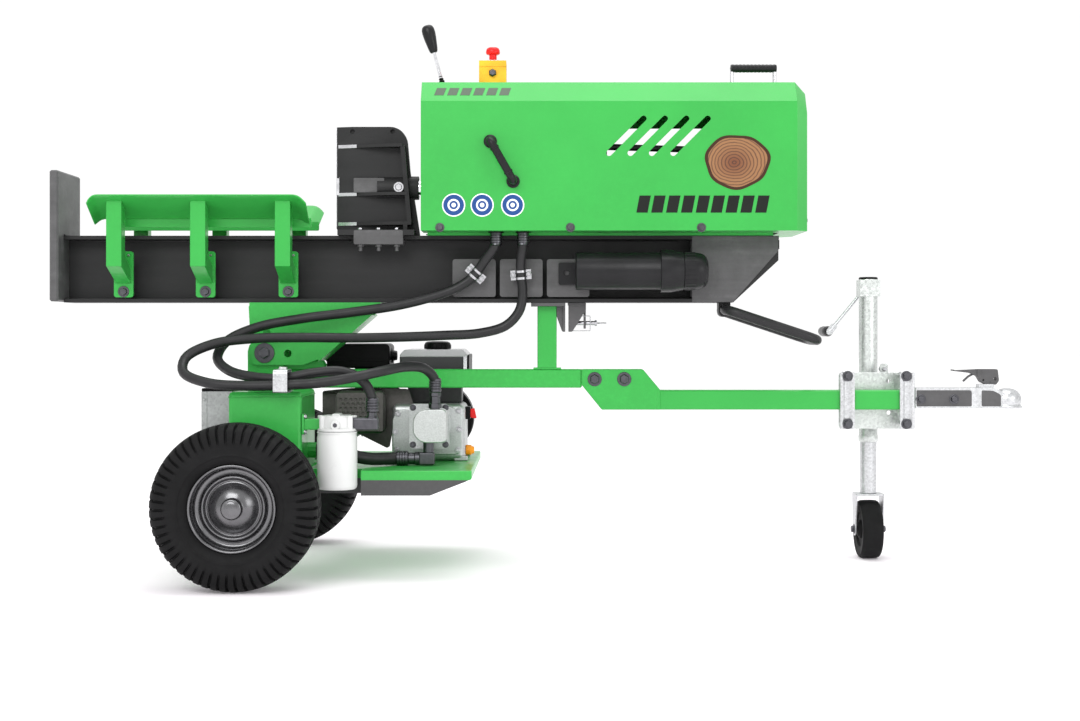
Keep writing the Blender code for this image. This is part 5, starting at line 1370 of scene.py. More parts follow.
def canister():
    """A screw-lidded tube for papers on a lug beside the beam."""
    y, z = -0.1, 0.743
    lid_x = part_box("canister_lid")[0][0] - DATUM_X
    shell = turned("tube", [(0, 0.101), (0.044, 0.101), (0.0465, 0.1035), (0.0465, 0.308), (0.048, 0.311),
            (0.053, 0.312), (0.053, 0.338), (0.0505, 0.35), (0.0475, lid_x - 0.0008),
            (0.042, lid_x - 0.0004), (0.042, 0.11), (0, 0.11)], (0, y, z), RIGHT, 72)
    lug = slab("lug", rounded_rect((0.059, 0.7105), (0.112, 0.7655), 0.004), "XZ", y + 0.034, y + 0.04)
    lug = cut(lug, rod("hole", (0.079, z - 0.003), "XZ", y, 0.0, 0.0065, 28), bevel=0.0008)
    foot = block("foot", (0.14, y + 0.03, z - 0.02), (0.29, -0.0524, z + 0.02), 0.001)
    group("canister_tube", [shell, lug, foot], "beam", "canister", "manual_canister")
    profile = [(0, 0), (0.0455, 0), (0.0465, 0.001), (0.0465, 0.03), (0.0448, 0.041), (0.0415, 0.05),
        (0.036, 0.0562), (0.03, 0.0592), (0.0285, 0.06), (0.027, 0.059), (0, 0.0605)]
    lid = turned("lid", profile, (lid_x, y, z), RIGHT, 72)
    ribs = rim_ribs((lid_x, y, z), "YZ", 0.0462, 24, 0.004, 0.029, 0.0014)
    group("canister_cap", [lid, *ribs], "canister_screw_lid", "canister", "canister_lid")


pivot_and_latch()
canister()


# ================================================================ tank, battery box, filter
TANK_LEFT, TANK_RIGHT, TANK_NEAR, TANK_FAR = -0.722, -0.55, -0.32, -0.08
TANK_TOP, CLIP_LEFT, CLIP_RIGHT = 0.4505, -0.6095, -0.576


def tank():
    """The hydraulic tank's seam, breather cap, hose clip, bolts and union, and the battery lid."""
    left, right = TANK_LEFT - 0.0006, TANK_RIGHT + 0.0006
    near, far, seam_z = TANK_NEAR - 0.0006, TANK_FAR + 0.0006, TANK_TOP - 0.012
    seam = rounded_path([(left, near, seam_z), (right, near, seam_z), (right, far, seam_z),
            (left, far, seam_z)], 0.008, True, 5)
    add(sweep("tank_seam", seam, 0.0015, True, 10), "chassis", "green")
    place = centre_of("tank_filler_cap")
    place.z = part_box("tank_filler_cap")[0][2]
    profile = [(0, 0), (0.0235, 0), (0.025, 0.0015), (0.025, 0.017), (0.0235, 0.0205), (0.02, 0.0225),
        (0.012, 0.0232), (0.011, 0.0238), (0, 0.024)]
    lid = turned("lid", profile, place, UP, 64)
    ribs = rim_ribs(place, "XY", 0.0246, 20, 0.002, 0.016, 0.0013)
    group("breather_cap", [lid, *ribs], "oil_lid", "plastic", "tank_filler_cap")

    clip = block("clip_back", (CLIP_LEFT, -0.3035, TANK_TOP + 0.0004), (CLIP_RIGHT, -0.3005, 0.499),
        0.0006)
    foot = block("clip_foot", (CLIP_LEFT, -0.302, TANK_TOP + 0.0004),
        (CLIP_RIGHT, -0.27, TANK_TOP + 0.0034), 0.0006)
    outside = filleted([(-0.368, 0.4495, 0.005), (-0.3, 0.4495, 0.003), (-0.3, 0.5045, 0.006),
        (-0.368, 0.5045, 0.01)])
    inside = filleted([(-0.3662, 0.4513, 0.004), (-0.3018, 0.4513, 0.002), (-0.3018, 0.5027, 0.005),
        (-0.3662, 0.5027, 0.009)])
    strap = slab("strap", outside, "YZ", CLIP_LEFT, CLIP_RIGHT)
    room = slab("room", inside, "YZ", -0.62, -0.56)
    strap = cut(strap, room, bevel=0.0005)
    tab = block("tab", (-0.596, -0.35, 0.5043), (-0.581, -0.33, 0.51), 0.001)
    screw = bolt((-0.599, -0.316, 0.5043), UP, 0.0045, 0.004)
    group("tank_hose_clip", [clip, foot, strap, tab, *screw], "chassis", "zinc_bright", "tank_hose_clamp")
    places = [(x, TANK_NEAR, 0.236) for x in (-0.69, -0.582)]
    bolts("tank_foot_bolts", "chassis", "dark_bolt", places, NEAR, 0.006, 0.0045)
    union = turned("union", [(0, 0), (0.016, 0), (0.016, 0.008), (0.019, 0.008), (0.019, 0.014),
            (0, 0.014)], (TANK_RIGHT + 0.0004, -0.2, 0.305), RIGHT, 6, 0.0006, 20.0)
    group("suction_union", [union], "chassis", "bolt")

    battery_lid = block("battery_lid", (-0.799, -0.251, 0.449), (-0.7224, -0.079, 0.4568), 0.002, 3)
    add(battery_lid, "chassis", "plastic")
    corner = [block("fold", (-0.7992, -0.2512, 0.262), (-0.786, -0.25, 0.449), 0.0004)]
    for z in (0.43, 0.29):
        corner += bolt((-0.7925, -0.2512, z), NEAR, 0.0034, 0.0025, False)
    group("battery_box_fold", corner, "chassis", "galvanised")
    hasp = [block("hasp", (-0.7998, -0.18, 0.395), (-0.7982, -0.15, 0.45), 0.0006),
        *bolt((-0.7998, -0.165, 0.405), (-1, 0, 0), 0.004, 0.003, False)]
    group("battery_hasp", hasp, "chassis", "bolt")


def oil_filter():
    """The filter head on its arm, its outlet and the white canister under it."""
    x, y = -0.468, -0.3
    head = turned("head", [(0, 0), (0.044, 0), (0.0465, 0.002), (0.0465, 0.007), (0.0385, 0.009),
            (0.0365, 0.034), (0.033, 0.038), (0, 0.038)], (x, y, 0.357), UP, 64)
    lobes = []
    for degrees in (5, 55, 125, 175, 215, 325):
        lobe_x = x + 0.0395 * math.cos(math.radians(degrees))
        lobe_y = y + 0.0395 * math.sin(math.radians(degrees))
        lobes.append(rod("lobe", (lobe_x, lobe_y), "XY", 0.3585, 0.3945, 0.0072, 20, 0.001))
    port = turned("port", [(0, 0), (0.0115, 0), (0.0115, 0.01), (0.01, 0.012), (0, 0.012)],
        (x, -0.333, 0.3735), NEAR, 32)
    top = block("bypass", (x - 0.01, y - 0.026, 0.39), (x + 0.01, y + 0.026, 0.399), 0.003, 3)
    group("filter_head_cast", [head, *lobes, port, top], "chassis", "white", "filter_head")
    arm = block("arm", (TANK_RIGHT + 0.0004, -0.314, 0.361), (x - 0.034, -0.286, 0.387), 0.003, 3)
    pad = slab("pad", rounded_rect((-0.319, 0.35), (-0.281, 0.398), 0.005), "YZ", TANK_RIGHT + 0.0003,
        TANK_RIGHT + 0.0063, 0.001)
    group("filter_arm", [arm, pad], "chassis", "green")
    places = [(TANK_RIGHT + 0.0063, -0.312, level) for level in (0.356, 0.392)]
    bolts("filter_arm_bolts", "chassis", "bolt", places, RIGHT, 0.0048, 0.004)
    outlet = block("outlet", (x + 0.03, -0.314, 0.36), (-0.37, -0.286, 0.39), 0.005, 3)
    union = turned("union", [(0, 0), (0.014, 0), (0.014, 0.007), (0.0118, 0.008), (0.0118, 0.0165),
            (0, 0.0165)], (-0.3856, y, 0.3855), UP, 6, 0.0006, 20.0)
    plug = turned("plug", [(0, 0), (0.0055, 0), (0.0055, 0.0015), (0, 0.0015)], (x, -0.3448, 0.3735),
        NEAR, 6, 0.0003, 20.0)
    group("filter_outlet", [outlet, union, plug], "chassis", "dark_bolt")
    can_profile = [(0, 0.006), (0.03, 0.0045), (0.038, 0.0006), (0.0425, 0.001), (0.0462, 0.005),
        (0.0475, 0.01), (0.0475, 0.124), (0.0463, 0.1275), (0.0463, 0.132), (0.0475, 0.1345),
        (0.047, 0.1366), (0, 0.1366)]
    can = turned("filter_can", can_profile, (x, y, 0.2198), UP, 80)
    add(can, "chassis", "white", "filter_canister")


# ================================================================ engine and pump
ENGINE_X, ENGINE_Z, ENGINE_FACE, PUMP_Y = -0.257, 0.362, -0.015, -0.15
TRAY_TOP = 0.2635


def crankcase():
    """The crankcase with its side cover, feet and bolts, the finned cylinder and the spark lead."""
    base = TRAY_TOP + 0.0004
    case = block("case", (-0.365, ENGINE_FACE, base), (-0.178, 0.17, 0.408), 0.016, 5)
    cover_outline = filleted([(-0.362, 0.28, 0.03), (-0.184, 0.28, 0.024), (-0.184, 0.402, 0.04),
            (-0.258, 0.404, 0.03), (-0.362, 0.392, 0.034)])
    side = slab("side", cover_outline, "XZ", ENGINE_FACE - 0.01, ENGINE_FACE + 0.002, 0.003, 3)
    boss = turned("boss", [(0.01, 0), (0.046, 0), (0.043, 0.012), (0.024, 0.016), (0.02, 0.026),
            (0.01, 0.026)], (ENGINE_X, ENGINE_FACE - 0.008, ENGINE_Z), NEAR, 48)
    feet = [block("foot", (x, y, base), (x + 0.034, y + 0.026, base + 0.012), 0.002)
        for x in (-0.378, -0.206) for y in (-0.012, 0.15)]
    shaft = rod("shaft", (ENGINE_X, ENGINE_Z), "XZ", -0.05, 0.0, 0.0095, 32)
    group("crankcase", [case, side, boss, *feet, shaft], "chassis", "cast", "engine_block")
    rim_bolts = []
    for x, z in ((-0.35, 0.292), (-0.196, 0.292), (-0.192, 0.345), (-0.194, 0.392), (-0.262, 0.396),
        (-0.348, 0.384), (-0.354, 0.338)):
        rim_bolts += bolt((x, ENGINE_FACE - 0.0098, z), NEAR, 0.0055, 0.005)
    for x in (-0.361, -0.189):
        rim_bolts += bolt((x, 0.0, base + 0.012), UP, 0.007, 0.006)
    group("crankcase_bolts", rim_bolts, "chassis", "bolt")

    fins = [block("head_core", (-0.462, 0.03, 0.328), (-0.35, 0.16, 0.424), 0.004)]
    outline = rounded_rect((0.0255, 0.3225), (0.1645, 0.4295), 0.01)
    for number in range(9):
        x = -0.458 + number * 0.0118
        fins.append(slab("fin", outline, "YZ", x, x + 0.003, 0.0006))
    valve_cover = block("valve_cover", (-0.47, 0.045, 0.34), (-0.458, 0.148, 0.414), 0.005, 3)
    group("cylinder_fins", [*fins, valve_cover], "chassis", "cast")
    plug_path = rounded_path([(-0.456, 0.06, 0.433), (-0.456, 0.05, 0.448), (-0.4, 0.044, 0.452),
            (-0.356, 0.06, 0.445), (-0.34, 0.12, 0.43)], 0.01, False, 6)
    lead = sweep("lead", plug_path, 0.0035, sides=14)
    boot = turned("boot", [(0, 0), (0.0095, 0), (0.0085, 0.014), (0.006, 0.022), (0, 0.022)],
        (-0.456, 0.063, 0.428), (0, -0.3, 1), 24)
    group("spark_lead", [lead, boot], "chassis", "plastic")


def recoil_starter():
    """The blower shroud with its vents, hub and bolts, and the starter handle on its rope."""
    starter_x, _, starter_z = centre_of("starter_handle")
    shroud = turned("shroud", [(0, 0), (0.09, 0), (0.094, 0.004), (0.094, 0.07), (0.0925, 0.078),
            (0.084, 0.086), (0.083, 0.112), (0.08, 0.122), (0.072, 0.1285), (0.03, 0.13), (0, 0.13)],
        (ENGINE_X, 0.1705, ENGINE_Z), AWAY, 72)
    vents = []
    for number in range(14):
        angle = math.tau * number / 14
        if abs(math.degrees(angle) - 103) < 16:     # room for the rope's hole
            continue
        direction = Vector((math.cos(angle), 0, math.sin(angle)))
        centre = Vector((ENGINE_X, 0, ENGINE_Z)) + direction * 0.05
        start, end = centre - direction * 0.015, centre + direction * 0.015
        vents.append(slab("vent", capsule((start.x, start.z), (end.x, end.z), 0.003), "XZ", 0.29, 0.32))
    rope_hole = rod("rope", (starter_x, starter_z), "XZ", 0.24, 0.32, 0.005, 20)
    shroud = cut(shroud, *vents, rope_hole, bevel=0.0008)
    add(shroud, "chassis", "plastic", "blower_shroud")
    cap = turned("hub", [(0, 0), (0.022, 0), (0.02, 0.004), (0, 0.005)], (ENGINE_X, 0.3005, ENGINE_Z),
        AWAY, 40)
    add(cap, "chassis", "grip")
    ring = []
    for number in range(5):
        angle = math.tau * number / 5 + 0.35
        x, z = ENGINE_X + 0.0875 * math.cos(angle), ENGINE_Z + 0.0875 * math.sin(angle)
        ring += bolt((x, 0.248, z), AWAY, 0.0045, 0.004, False)
    group("recoil_bolts", ring, "chassis", "bolt")
    grip_piece = turned("pull", [(0, -0.036), (0.0085, -0.036), (0.011, -0.03), (0.0095, -0.012),
            (0.0095, 0.012), (0.011, 0.03), (0.0085, 0.036), (0, 0.036)], (starter_x, 0.318, starter_z),
        RIGHT, 36, 0.0, 50.0)
    rope = rod("rope", (starter_x, starter_z), "XZ", 0.262, 0.315, 0.0026, 16)
    group("pull_handle", [grip_piece, rope], "starter", "grip", "starter_handle")


def fuel_tank():
    """The dark pressed tank with its pale top, wire strap, end plate and ribbed cap."""
    lower = block("fuel", (-0.349, 0.035, 0.462), (-0.173, 0.25, 0.534), 0.009, 4)
    leg = block("leg", (-0.33, 0.07, 0.4085), (-0.19, 0.15, 0.466), 0.003)
    group("fuel_tank_pressed", [lower, leg], "chassis", "dark", "fuel_tank")
    shoulder_outline = filleted([(-0.348, 0.5265), (-0.174, 0.5265), (-0.174, 0.533, 0.004),
        (-0.186, 0.5462, 0.01), (-0.336, 0.5462, 0.01), (-0.348, 0.533, 0.004)])
    shoulder = slab("shoulder", shoulder_outline, "XZ", 0.0342, 0.2508, 0.006, 4)
    neck = turned("neck", [(0, 0), (0.03, 0), (0.028, 0.003), (0, 0.003)], (-0.2555, 0.12, 0.545), UP, 40)
    group("fuel_tank_top", [shoulder, neck], "chassis", "fuel_top")
    straps = []
    for x in (-0.183, -0.1808, -0.1786, -0.1764):
        path = [(x, 0.0335, 0.464), (x, 0.0335, 0.524), (x, 0.036, 0.53)]
        straps.append(sweep("strap", path, 0.0014, sides=8))
    group("fuel_tank_strap", straps, "chassis", "zinc_bright")
    end_outline = filleted([(0.0365, 0.47, 0.012), (0.2485, 0.47, 0.012), (0.2485, 0.533, 0.012),
        (0.0365, 0.533, 0.012)])
    end_cap = slab("end", end_outline, "YZ", -0.1735, -0.1695, 0.0012)
    add(end_cap, "chassis", "plastic")
    place = (-0.2555, 0.12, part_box("fuel_cap")[0][2])
    lid = turned("cap", [(0, 0), (0.033, 0), (0.0345, 0.0015), (0.0345, 0.012), (0.0325, 0.0165),
            (0.027, 0.0195), (0.014, 0.0205), (0, 0.0206)], place, UP, 64)
    ribs = rim_ribs(place, "XY", 0.0338, 16, 0.001, 0.0115, 0.0018, 10)
    group("fuel_cap_ribbed", [lid, *ribs], "fuel_lid", "plastic", "fuel_cap")


def air_and_exhaust():
    """The air cleaner, and the muffler with its pierced guard and heat shield."""
    air_outline = filleted([(-0.542, 0.497, 0.008), (-0.378, 0.497, 0.008), (-0.378, 0.561, 0.012),
        (-0.5, 0.561, 0.02), (-0.542, 0.54, 0.012)])
    air = slab("air", air_outline, "XZ", 0.0785, 0.225, 0.005, 3)
    elbow = block("elbow", (-0.47, 0.085, 0.4305), (-0.41, 0.16, 0.5), 0.006, 3)
    ledge = slab("ledge", rounded_rect((-0.5432, 0.515), (-0.3768, 0.5185), 0.001), "XZ", 0.0775, 0.226,
        0.0006)
    knob = turned("air_knob", [(0, 0), (0.02, 0), (0.02, 0.003), (0.014, 0.005), (0.012, 0.014),
            (0, 0.015)], (-0.378, 0.15, 0.529), RIGHT, 24)
    group("air_cleaner_moulded", [air, elbow, ledge], "chassis", "plastic", "air_cleaner")
    add(knob, "chassis", "grip")

    body = block("muffler", (-0.505, -0.044, 0.335), (-0.378, 0.016, 0.443), 0.018, 5)
    pipe = rod("pipe", (-0.43, 0.38), "XZ", 0.01, 0.0245, 0.014, 32)
    guard = block("guard", (-0.5, -0.048, 0.341), (-0.383, -0.044, 0.437), 0.004, 3)
    holes = []
    for row in range(7):
        for column in range(8):
            x = -0.49 + 0.0125 * column + (0.006 if row % 2 else 0.0)
            z = 0.352 + 0.0115 * row
            holes.append(rod("hole", (x, z), "XZ", -0.06, -0.0455, 0.0036, 10))
    guard = cut(guard, join("holes", holes))
    group("muffler_and_guard", [body, pipe, guard], "chassis", "muffler", "muffler")

    shield_outline = filleted([(-0.5446, 0.4404, 0.006), (-0.47, 0.448, 0.006), (-0.324, 0.446, 0.01),
        (-0.309, 0.3988, 0.01), (-0.363, 0.3497, 0.01), (-0.373, 0.2909, 0.008),
        (-0.4514, 0.3301, 0.01), (-0.5446, 0.3792, 0.006)])
    shield = slab("shield", shield_outline, "XZ", 0.019, 0.0215, 0.0006)
    shield = cut(shield, rod("pipe_hole", (-0.43, 0.38), "XZ", 0.0, 0.05, 0.0145, 24))
    beads = []
    for drop in (0.0, 0.052):
        path = rounded_path([(-0.54, 0.019, 0.436 - drop), (-0.46, 0.019, 0.43 - drop),
            (-0.39, 0.019, 0.406 - drop)], 0.02)
        beads.append(sweep("bead", path, 0.0016, sides=10))
    group("heat_shield", [shield, *beads], "chassis", "muffler")


def engine_controls():
    """Oil filler cap, throttle lever, engine switch and carburettor."""
    place = centre_of("oil_filler_cap")
    place.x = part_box("oil_filler_cap")[0][0] - DATUM_X
    cap = turned("oil_cap", [(0, 0), (0.013, 0), (0.0135, 0.001), (0.0135, 0.0125), (0.011, 0.015),
            (0.0085, 0.0215), (0, 0.022)], place, RIGHT, 8, 0.001, 20.0)
    add(cap, "dipstick", "orange", "oil_filler_cap")
    low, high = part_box("throttle_lever")
    keep("throttle_lever", "bolt", 0.0006)
    x, z = centre_of("throttle_lever").x, high[2] - 0.0075
    knob = rod("throttle_knob", (x, z), "XZ", low[1] - 0.0035, high[1] + 0.0035, 0.0062, 24, 0.0012)
    add(knob, "throttle", "orange")
    plate = block("switch_box", (-0.179, 0.02, 0.368), (-0.166, 0.06, 0.4), 0.002)
    add(plate, "chassis", "plastic")
    rocker_outline = filleted([(-0.1665, 0.372, 0.002), (-0.15, 0.369, 0.002), (-0.156, 0.396, 0.002),
        (-0.1665, 0.393, 0.002)])
    rocker = slab("engine_switch", rocker_outline, "XZ", 0.026, 0.054, 0.0015)
    add(rocker, "chassis", "red")
    carb = block("carburettor", (-0.425, 0.177, 0.405), (-0.375, 0.208, 0.4966), 0.005, 3)
    bowl = turned("bowl", [(0, 0), (0.015, 0), (0.017, 0.004), (0.017, 0.02), (0, 0.02)],
        (-0.4, 0.196, 0.386), UP, 36)
    group("carburettor_cast", [carb, bowl], "chassis", "cast")


def pump_outline(half):
    """The pump's section, with wide corners on its left side."""
    left, right, low, high = ENGINE_X - half, ENGINE_X + half, ENGINE_Z - half, ENGINE_Z + half
    return filleted([(left, low, 0.034), (right, low, 0.012), (right, high, 0.012), (left, high, 0.034)],
        10)


def pump():
    """The gear pump on its bell housing, with its fittings and bolts."""
    flange_outline = filleted([(-0.312, 0.302, 0.012), (-0.213, 0.302, 0.012), (-0.213, 0.413, 0.012),
        (-0.312, 0.413, 0.012)])
    flange = slab("flange", flange_outline, "XZ", -0.112, -0.102, 0.0015)
    hole = rod("hole", (ENGINE_X, ENGINE_Z), "XZ", -0.13, -0.08, 0.02, 32)
    bell = turned("bell", [(0.02, 0), (0.048, 0), (0.046, 0.03), (0.046, 0.06), (0.044, 0.076),
            (0.02, 0.076)], (ENGINE_X, -0.1035, ENGINE_Z), AWAY, 48)
    bell_piece = fuse(cut(flange, hole), bell)
    soften(bell_piece, 0.0012, 2)
    add(bell_piece, "chassis", "cast", "pump_mount")
    body = slab("body", pump_outline(0.0405), "XZ", -0.189, -0.1125, 0.003, 3)
    joint_ring = slab("joint", pump_outline(0.042), "XZ", -0.156, -0.152, 0.001)
    group("gear_pump", [body, joint_ring], "chassis", "pump", "hydraulic_pump")
    fittings = [
        turned("port", [(0, 0), (0.016, 0), (0.016, 0.012), (0.013, 0.013), (0.013, 0.03),
                        (0.015, 0.031), (0.015, 0.04), (0, 0.04)], (-0.2458, PUMP_Y, 0.403),
               UP, 6, 0.0006, 20.0),
        rod("drop", (-0.262, PUMP_Y), "XY", 0.33, 0.292, 0.013, 32),
        block("elbow", (-0.285, PUMP_Y - 0.0155, 0.2655), (-0.247, PUMP_Y + 0.0155, 0.2965),
              0.004, 3),
        turned("collar", [(0, 0), (0.0165, 0), (0.0165, 0.01), (0.0145, 0.012), (0.0145, 0.026),
                          (0, 0.026)], (-0.284, PUMP_Y, 0.281), (-1, 0, 0), 36),
    ]
    group("pump_fittings", fittings, "chassis", "dark_bolt")
    heads = []
    for x, level in ((-0.303, 0.312), (-0.222, 0.312), (-0.303, 0.404), (-0.222, 0.404)):
        heads += bolt((x, -0.112, level), NEAR, 0.0055, 0.005)
    group("pump_bolts", heads, "chassis", "dark_bolt")


tank()
oil_filter()
crankcase()
recoil_starter()
fuel_tank()
air_and_exhaust()
engine_controls()
pump()


# ================================================================ tongue, jack, coupler
def tongue_details():
    """Bolts, welds and gussets of the frame, and the folded skirt of the engine tray."""
    for side in (-1, 1):
        places = [(x, side * 0.0275, 0.472) for x in (0.151, 0.226)]
        bolts(f"tongue_bolts_{side + 1}", "chassis", "dark_bolt", places, (0, side, 0), 0.0125, 0.0085)
    seams = []
    for x, low, high, half in ((0.31, 0.396, 0.443, 0.0262), (0.1192, 0.456, 0.496, 0.0266)):
        for side in (-1, 1):
            seams.append(weld((x, side * half, low), (x, side * half, high), 13, 0.0018))
    for y in (-0.025, 0.025):
        seams.append(weld((-0.6335, y, 0.452), (-0.6335, y, 0.4938), 12, 0.0022, 0.0005))
    group("tongue_welds", seams, "chassis", "green")
    gusset = filleted([(-0.634, 0.4972), (-0.538, 0.4972), (-0.534, 0.507, 0.004), (-0.541, 0.519, 0.003),
            (-0.634, 0.508)])
    group("upright_gussets", [slab("gusset", gusset, "XZ", low, low + 0.004, 0.0006)
            for low in (-0.03, 0.026)], "chassis", "green")
    skirt = [(-0.5452, 0.2046), (-0.249, 0.2046), (-0.1617, 0.2386), (-0.16, 0.2405), (-0.1625, 0.2412),
        (-0.5452, 0.2412)]
    near, far = [slab("skirt", skirt, "XZ", low, low + 0.0008) for low in (-0.3006, 0.3348)]
    near = cut(near, block("notch", (-0.56, -0.31, 0.19), (-0.412, -0.245, 0.28)))
    apron, band_edge = [[block("fold", (-0.5445, -0.244, low), (-0.4105, -0.242, high), 0.0004),
            block("fold", (-0.4125, -0.295, low), (-0.4105, -0.2436, high), 0.0004)]
        for low, high in ((0.205, 0.241), (0.2413, 0.2592))]
    # the skirt look carries painted shade: a darker grey than the plates, against the floor's bounced
    # light
    group("tray_skirt_shade", [near, far, *apron], "chassis", "skirt")
    group("tray_notch_band", band_edge, "chassis", "green")
    places = [(-0.52, y, TRAY_TOP) for y in (-0.02, 0.02)]
    bolts("tray_bolts", "chassis", "dark_bolt", places, UP, 0.007, 0.005)


JACK_X, JACK_Y, SWIVEL_X, SWIVEL_Z, CRANK_Z = 0.872, 0.11, 0.866, 0.419, 0.7055
JACK_WHEEL_RADIUS, HALF_JACK_WHEEL = 0.076, 0.0285


def jack_mount():
    """The jack's plate and boss, and the bars and bolts that clamp it to the tongue."""
    plate = slab("plate", rounded_rect((0.78, 0.343), (0.969, 0.4876), 0.008), "XZ", 0.0292, 0.035,
        0.0008)
    plate = cut(plate, rod("hole", (0.908, 0.384), "XZ", 0.0, 0.1, 0.0055, 24),
        rod("hole", (0.906, 0.4656), "XZ", 0.0, 0.1, 0.005, 24))
    soften(plate, 0.0008, 2)
    boss = turned("boss", [(0, 0), (0.025, 0), (0.025, 0.018), (0.022, 0.0205), (0, 0.0205)],
        (SWIVEL_X, 0.0345, SWIVEL_Z), AWAY, 48)
    group("jack_plate", [plate, boss], "chassis", "zinc", "jack_mount")
    bars, heads, rings = [], [], []
    for low, high in ((0.772, 0.8096), (0.923, 0.961)):
        middle = (low + high) / 2
        section = filleted([(low, -0.0265), (low, -0.033, 0.002), (low + 0.007, -0.033, 0.002),
                (middle - 0.005, -0.0285, 0.003), (middle + 0.005, -0.0285, 0.003),
                (high - 0.007, -0.033, 0.002), (high, -0.033, 0.002), (high, -0.0265)], 4)
        bars.append(slab("clamp_bar", section, "XY", 0.346, 0.489, 0.001))
        x = 0.791 if low < 0.8 else 0.9395
        for z in (0.359, 0.48):
            heads += bolt((x, -0.033, z), NEAR, 0.0092, 0.0065)
            rings.append(washer((x, -0.033, z), NEAR, 0.0128, 0.0016))
            heads.append(rod("stud", (x, z), "XZ", -0.03, 0.045, 0.0055, 16, 0.0006))
            heads.append(hex_head((x, 0.0352, z), AWAY, 0.0095, 0.0065))
    group("jack_clamp_bars", bars, "chassis", "zinc_bright")
    group("jack_clamp_bolts", heads, "chassis", "dark_bolt")
    group("jack_clamp_washers", rings, "chassis", "bolt")


def jack_tube_and_leg():
    """The galvanised tube with its lock pin, gearbox and cap, and the leg inside it."""
    bottom, top = 0.304, 0.7315
    tall = top - bottom
    profile = [(0.0222, 0), (0.024, 0.001), (0.0252, 0.003), (0.0252, 0.016), (0.024, 0.019),
        (0.024, tall - 0.03), (0.025, tall - 0.028), (0.025, tall - 0.004), (0.0235, tall), (0, tall),
        (0, tall - 0.004), (0.0222, tall - 0.004)]
    tube = turned("tube", profile, (JACK_X, JACK_Y, bottom), UP, 64)
    flange = turned("flange", [(0, 0), (0.037, 0), (0.038, 0.001), (0.038, 0.0075), (0, 0.0075)],
        (SWIVEL_X, 0.0555, SWIVEL_Z), AWAY, 56)
    saddle = block("saddle", (0.846, 0.06, 0.385), (0.898, 0.09, 0.455), 0.003, 3)
    lock_x, _, lock_z = centre_of("jack_pull_pin")
    arm = slab("lock_arm", rounded_rect((0.892, 0.43), (0.912, 0.51), 0.006), "XZ", 0.0555, 0.061)
    gearbox = block("gearbox", (0.846, 0.084, 0.684), (0.898, 0.1365, 0.727), 0.005, 3)
    room = rod("room", (JACK_X, JACK_Y), "XY", bottom - 0.01, top - 0.004, 0.0222, 64)
    body = fuse(tube, flange, saddle, arm, gearbox)
    cut(body, room, rod("hole", (lock_x, lock_z), "XZ", 0.05, 0.066, 0.0052, 24),
        rod("hole", (JACK_X, CRANK_Z), "XZ", 0.128, 0.145, 0.0075, 24), bevel=0.0007)
    add(body, "jack", "zinc", "jack_tube")
    cap = turned("jack_cap", [(0.015, 0), (0.0245, 0), (0.0245, 0.004), (0.0225, 0.0062),
            (0.015, 0.0066)], (JACK_X, JACK_Y, top - 0.003), UP, 48)
    add(cap, "jack", "plastic")
    pin = turned("pin", [(0, 0), (0.0035, 0), (0.0045, 0.002), (0.0045, 0.034), (0.009, 0.034),
            (0.009, 0.044), (0.008, 0.045), (0, 0.045)], (lock_x, 0.036, lock_z), AWAY, 32)
    add(pin, "jack_lock", "bolt", "jack_pull_pin")

    leg_low, leg_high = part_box("jack_leg_tube")
    length = leg_high[2] - leg_low[2]
    leg = turned("leg", [(0, 0), (0.0206, 0), (0.0214, 0.001), (0.0214, length - 0.001), (0.0206, length),
            (0, length)], (JACK_X, JACK_Y, leg_low[2]), UP, 56)
    add(leg, "jack_leg", "zinc_bright", "jack_leg_tube")


def jack_caster():
    """The fork, axle and wheel under the jack's leg."""
    bridge_outline = rounded_rect((JACK_X - 0.037, JACK_Y - 0.03), (JACK_X + 0.037, JACK_Y + 0.03), 0.006)
    bridge = slab("bridge", bridge_outline, "XY", 0.165, 0.17, 0.0012)
    cheek_outline = filleted([(JACK_Y - 0.028, 0.1664), (JACK_Y - 0.0125, 0.059, 0.0124),
        (JACK_Y + 0.0125, 0.059, 0.0124), (JACK_Y + 0.028, 0.1664)])
    cheeks = [slab("cheek", cheek_outline, "YZ", low, low + 0.004, 0.0008)
        for low in (JACK_X - 0.037, JACK_X + 0.033)]
    collar = turned("collar", [(0, 0), (0.019, 0), (0.018, 0.0004), (0, 0.0004)], (JACK_X, JACK_Y, 0.17),
        UP, 40)
    group("caster_fork", [bridge, *cheeks, collar], "jack_caster", "zinc_bright", "jack_fork")
    hub = Vector((JACK_X, JACK_Y, JACK_WHEEL_RADIUS))
    ends = [bar("axle", hub - Vector((0.04, 0, 0)), hub + Vector((0.04, 0, 0)), 0.0058, 24)]
    for side in (-1, 1):
        ends += bolt(hub + Vector((side * 0.037, 0, 0)), (side, 0, 0), 0.0088, 0.0065)
    group("caster_axle", ends, "jack_caster", "dark_bolt")
    half = HALF_JACK_WHEEL
    profile = [(0.0068, -half), (0.018, -half), (0.019, 0.003 - half), (0.023, 0.004 - half),
        (0.025, 0.009 - half), (0.043, 0.01 - half), (0.046, 0.0045 - half), (0.06, 0.003 - half),
        (0.069, 0.0018 - half), (0.073, 0.0045 - half), (0.0752, 0.0095 - half), (0.0758, 0.016 - half),
        (0.076, 0.023 - half), (0.076, 0.028 - half)]
    profile += [(radius, -height) for radius, height in reversed(profile)]
    wheel = turned("caster_tread", profile, hub, RIGHT, 72, 0.0, 40.0)
    add(wheel, "jack_roller", "tyre", "jack_wheel")


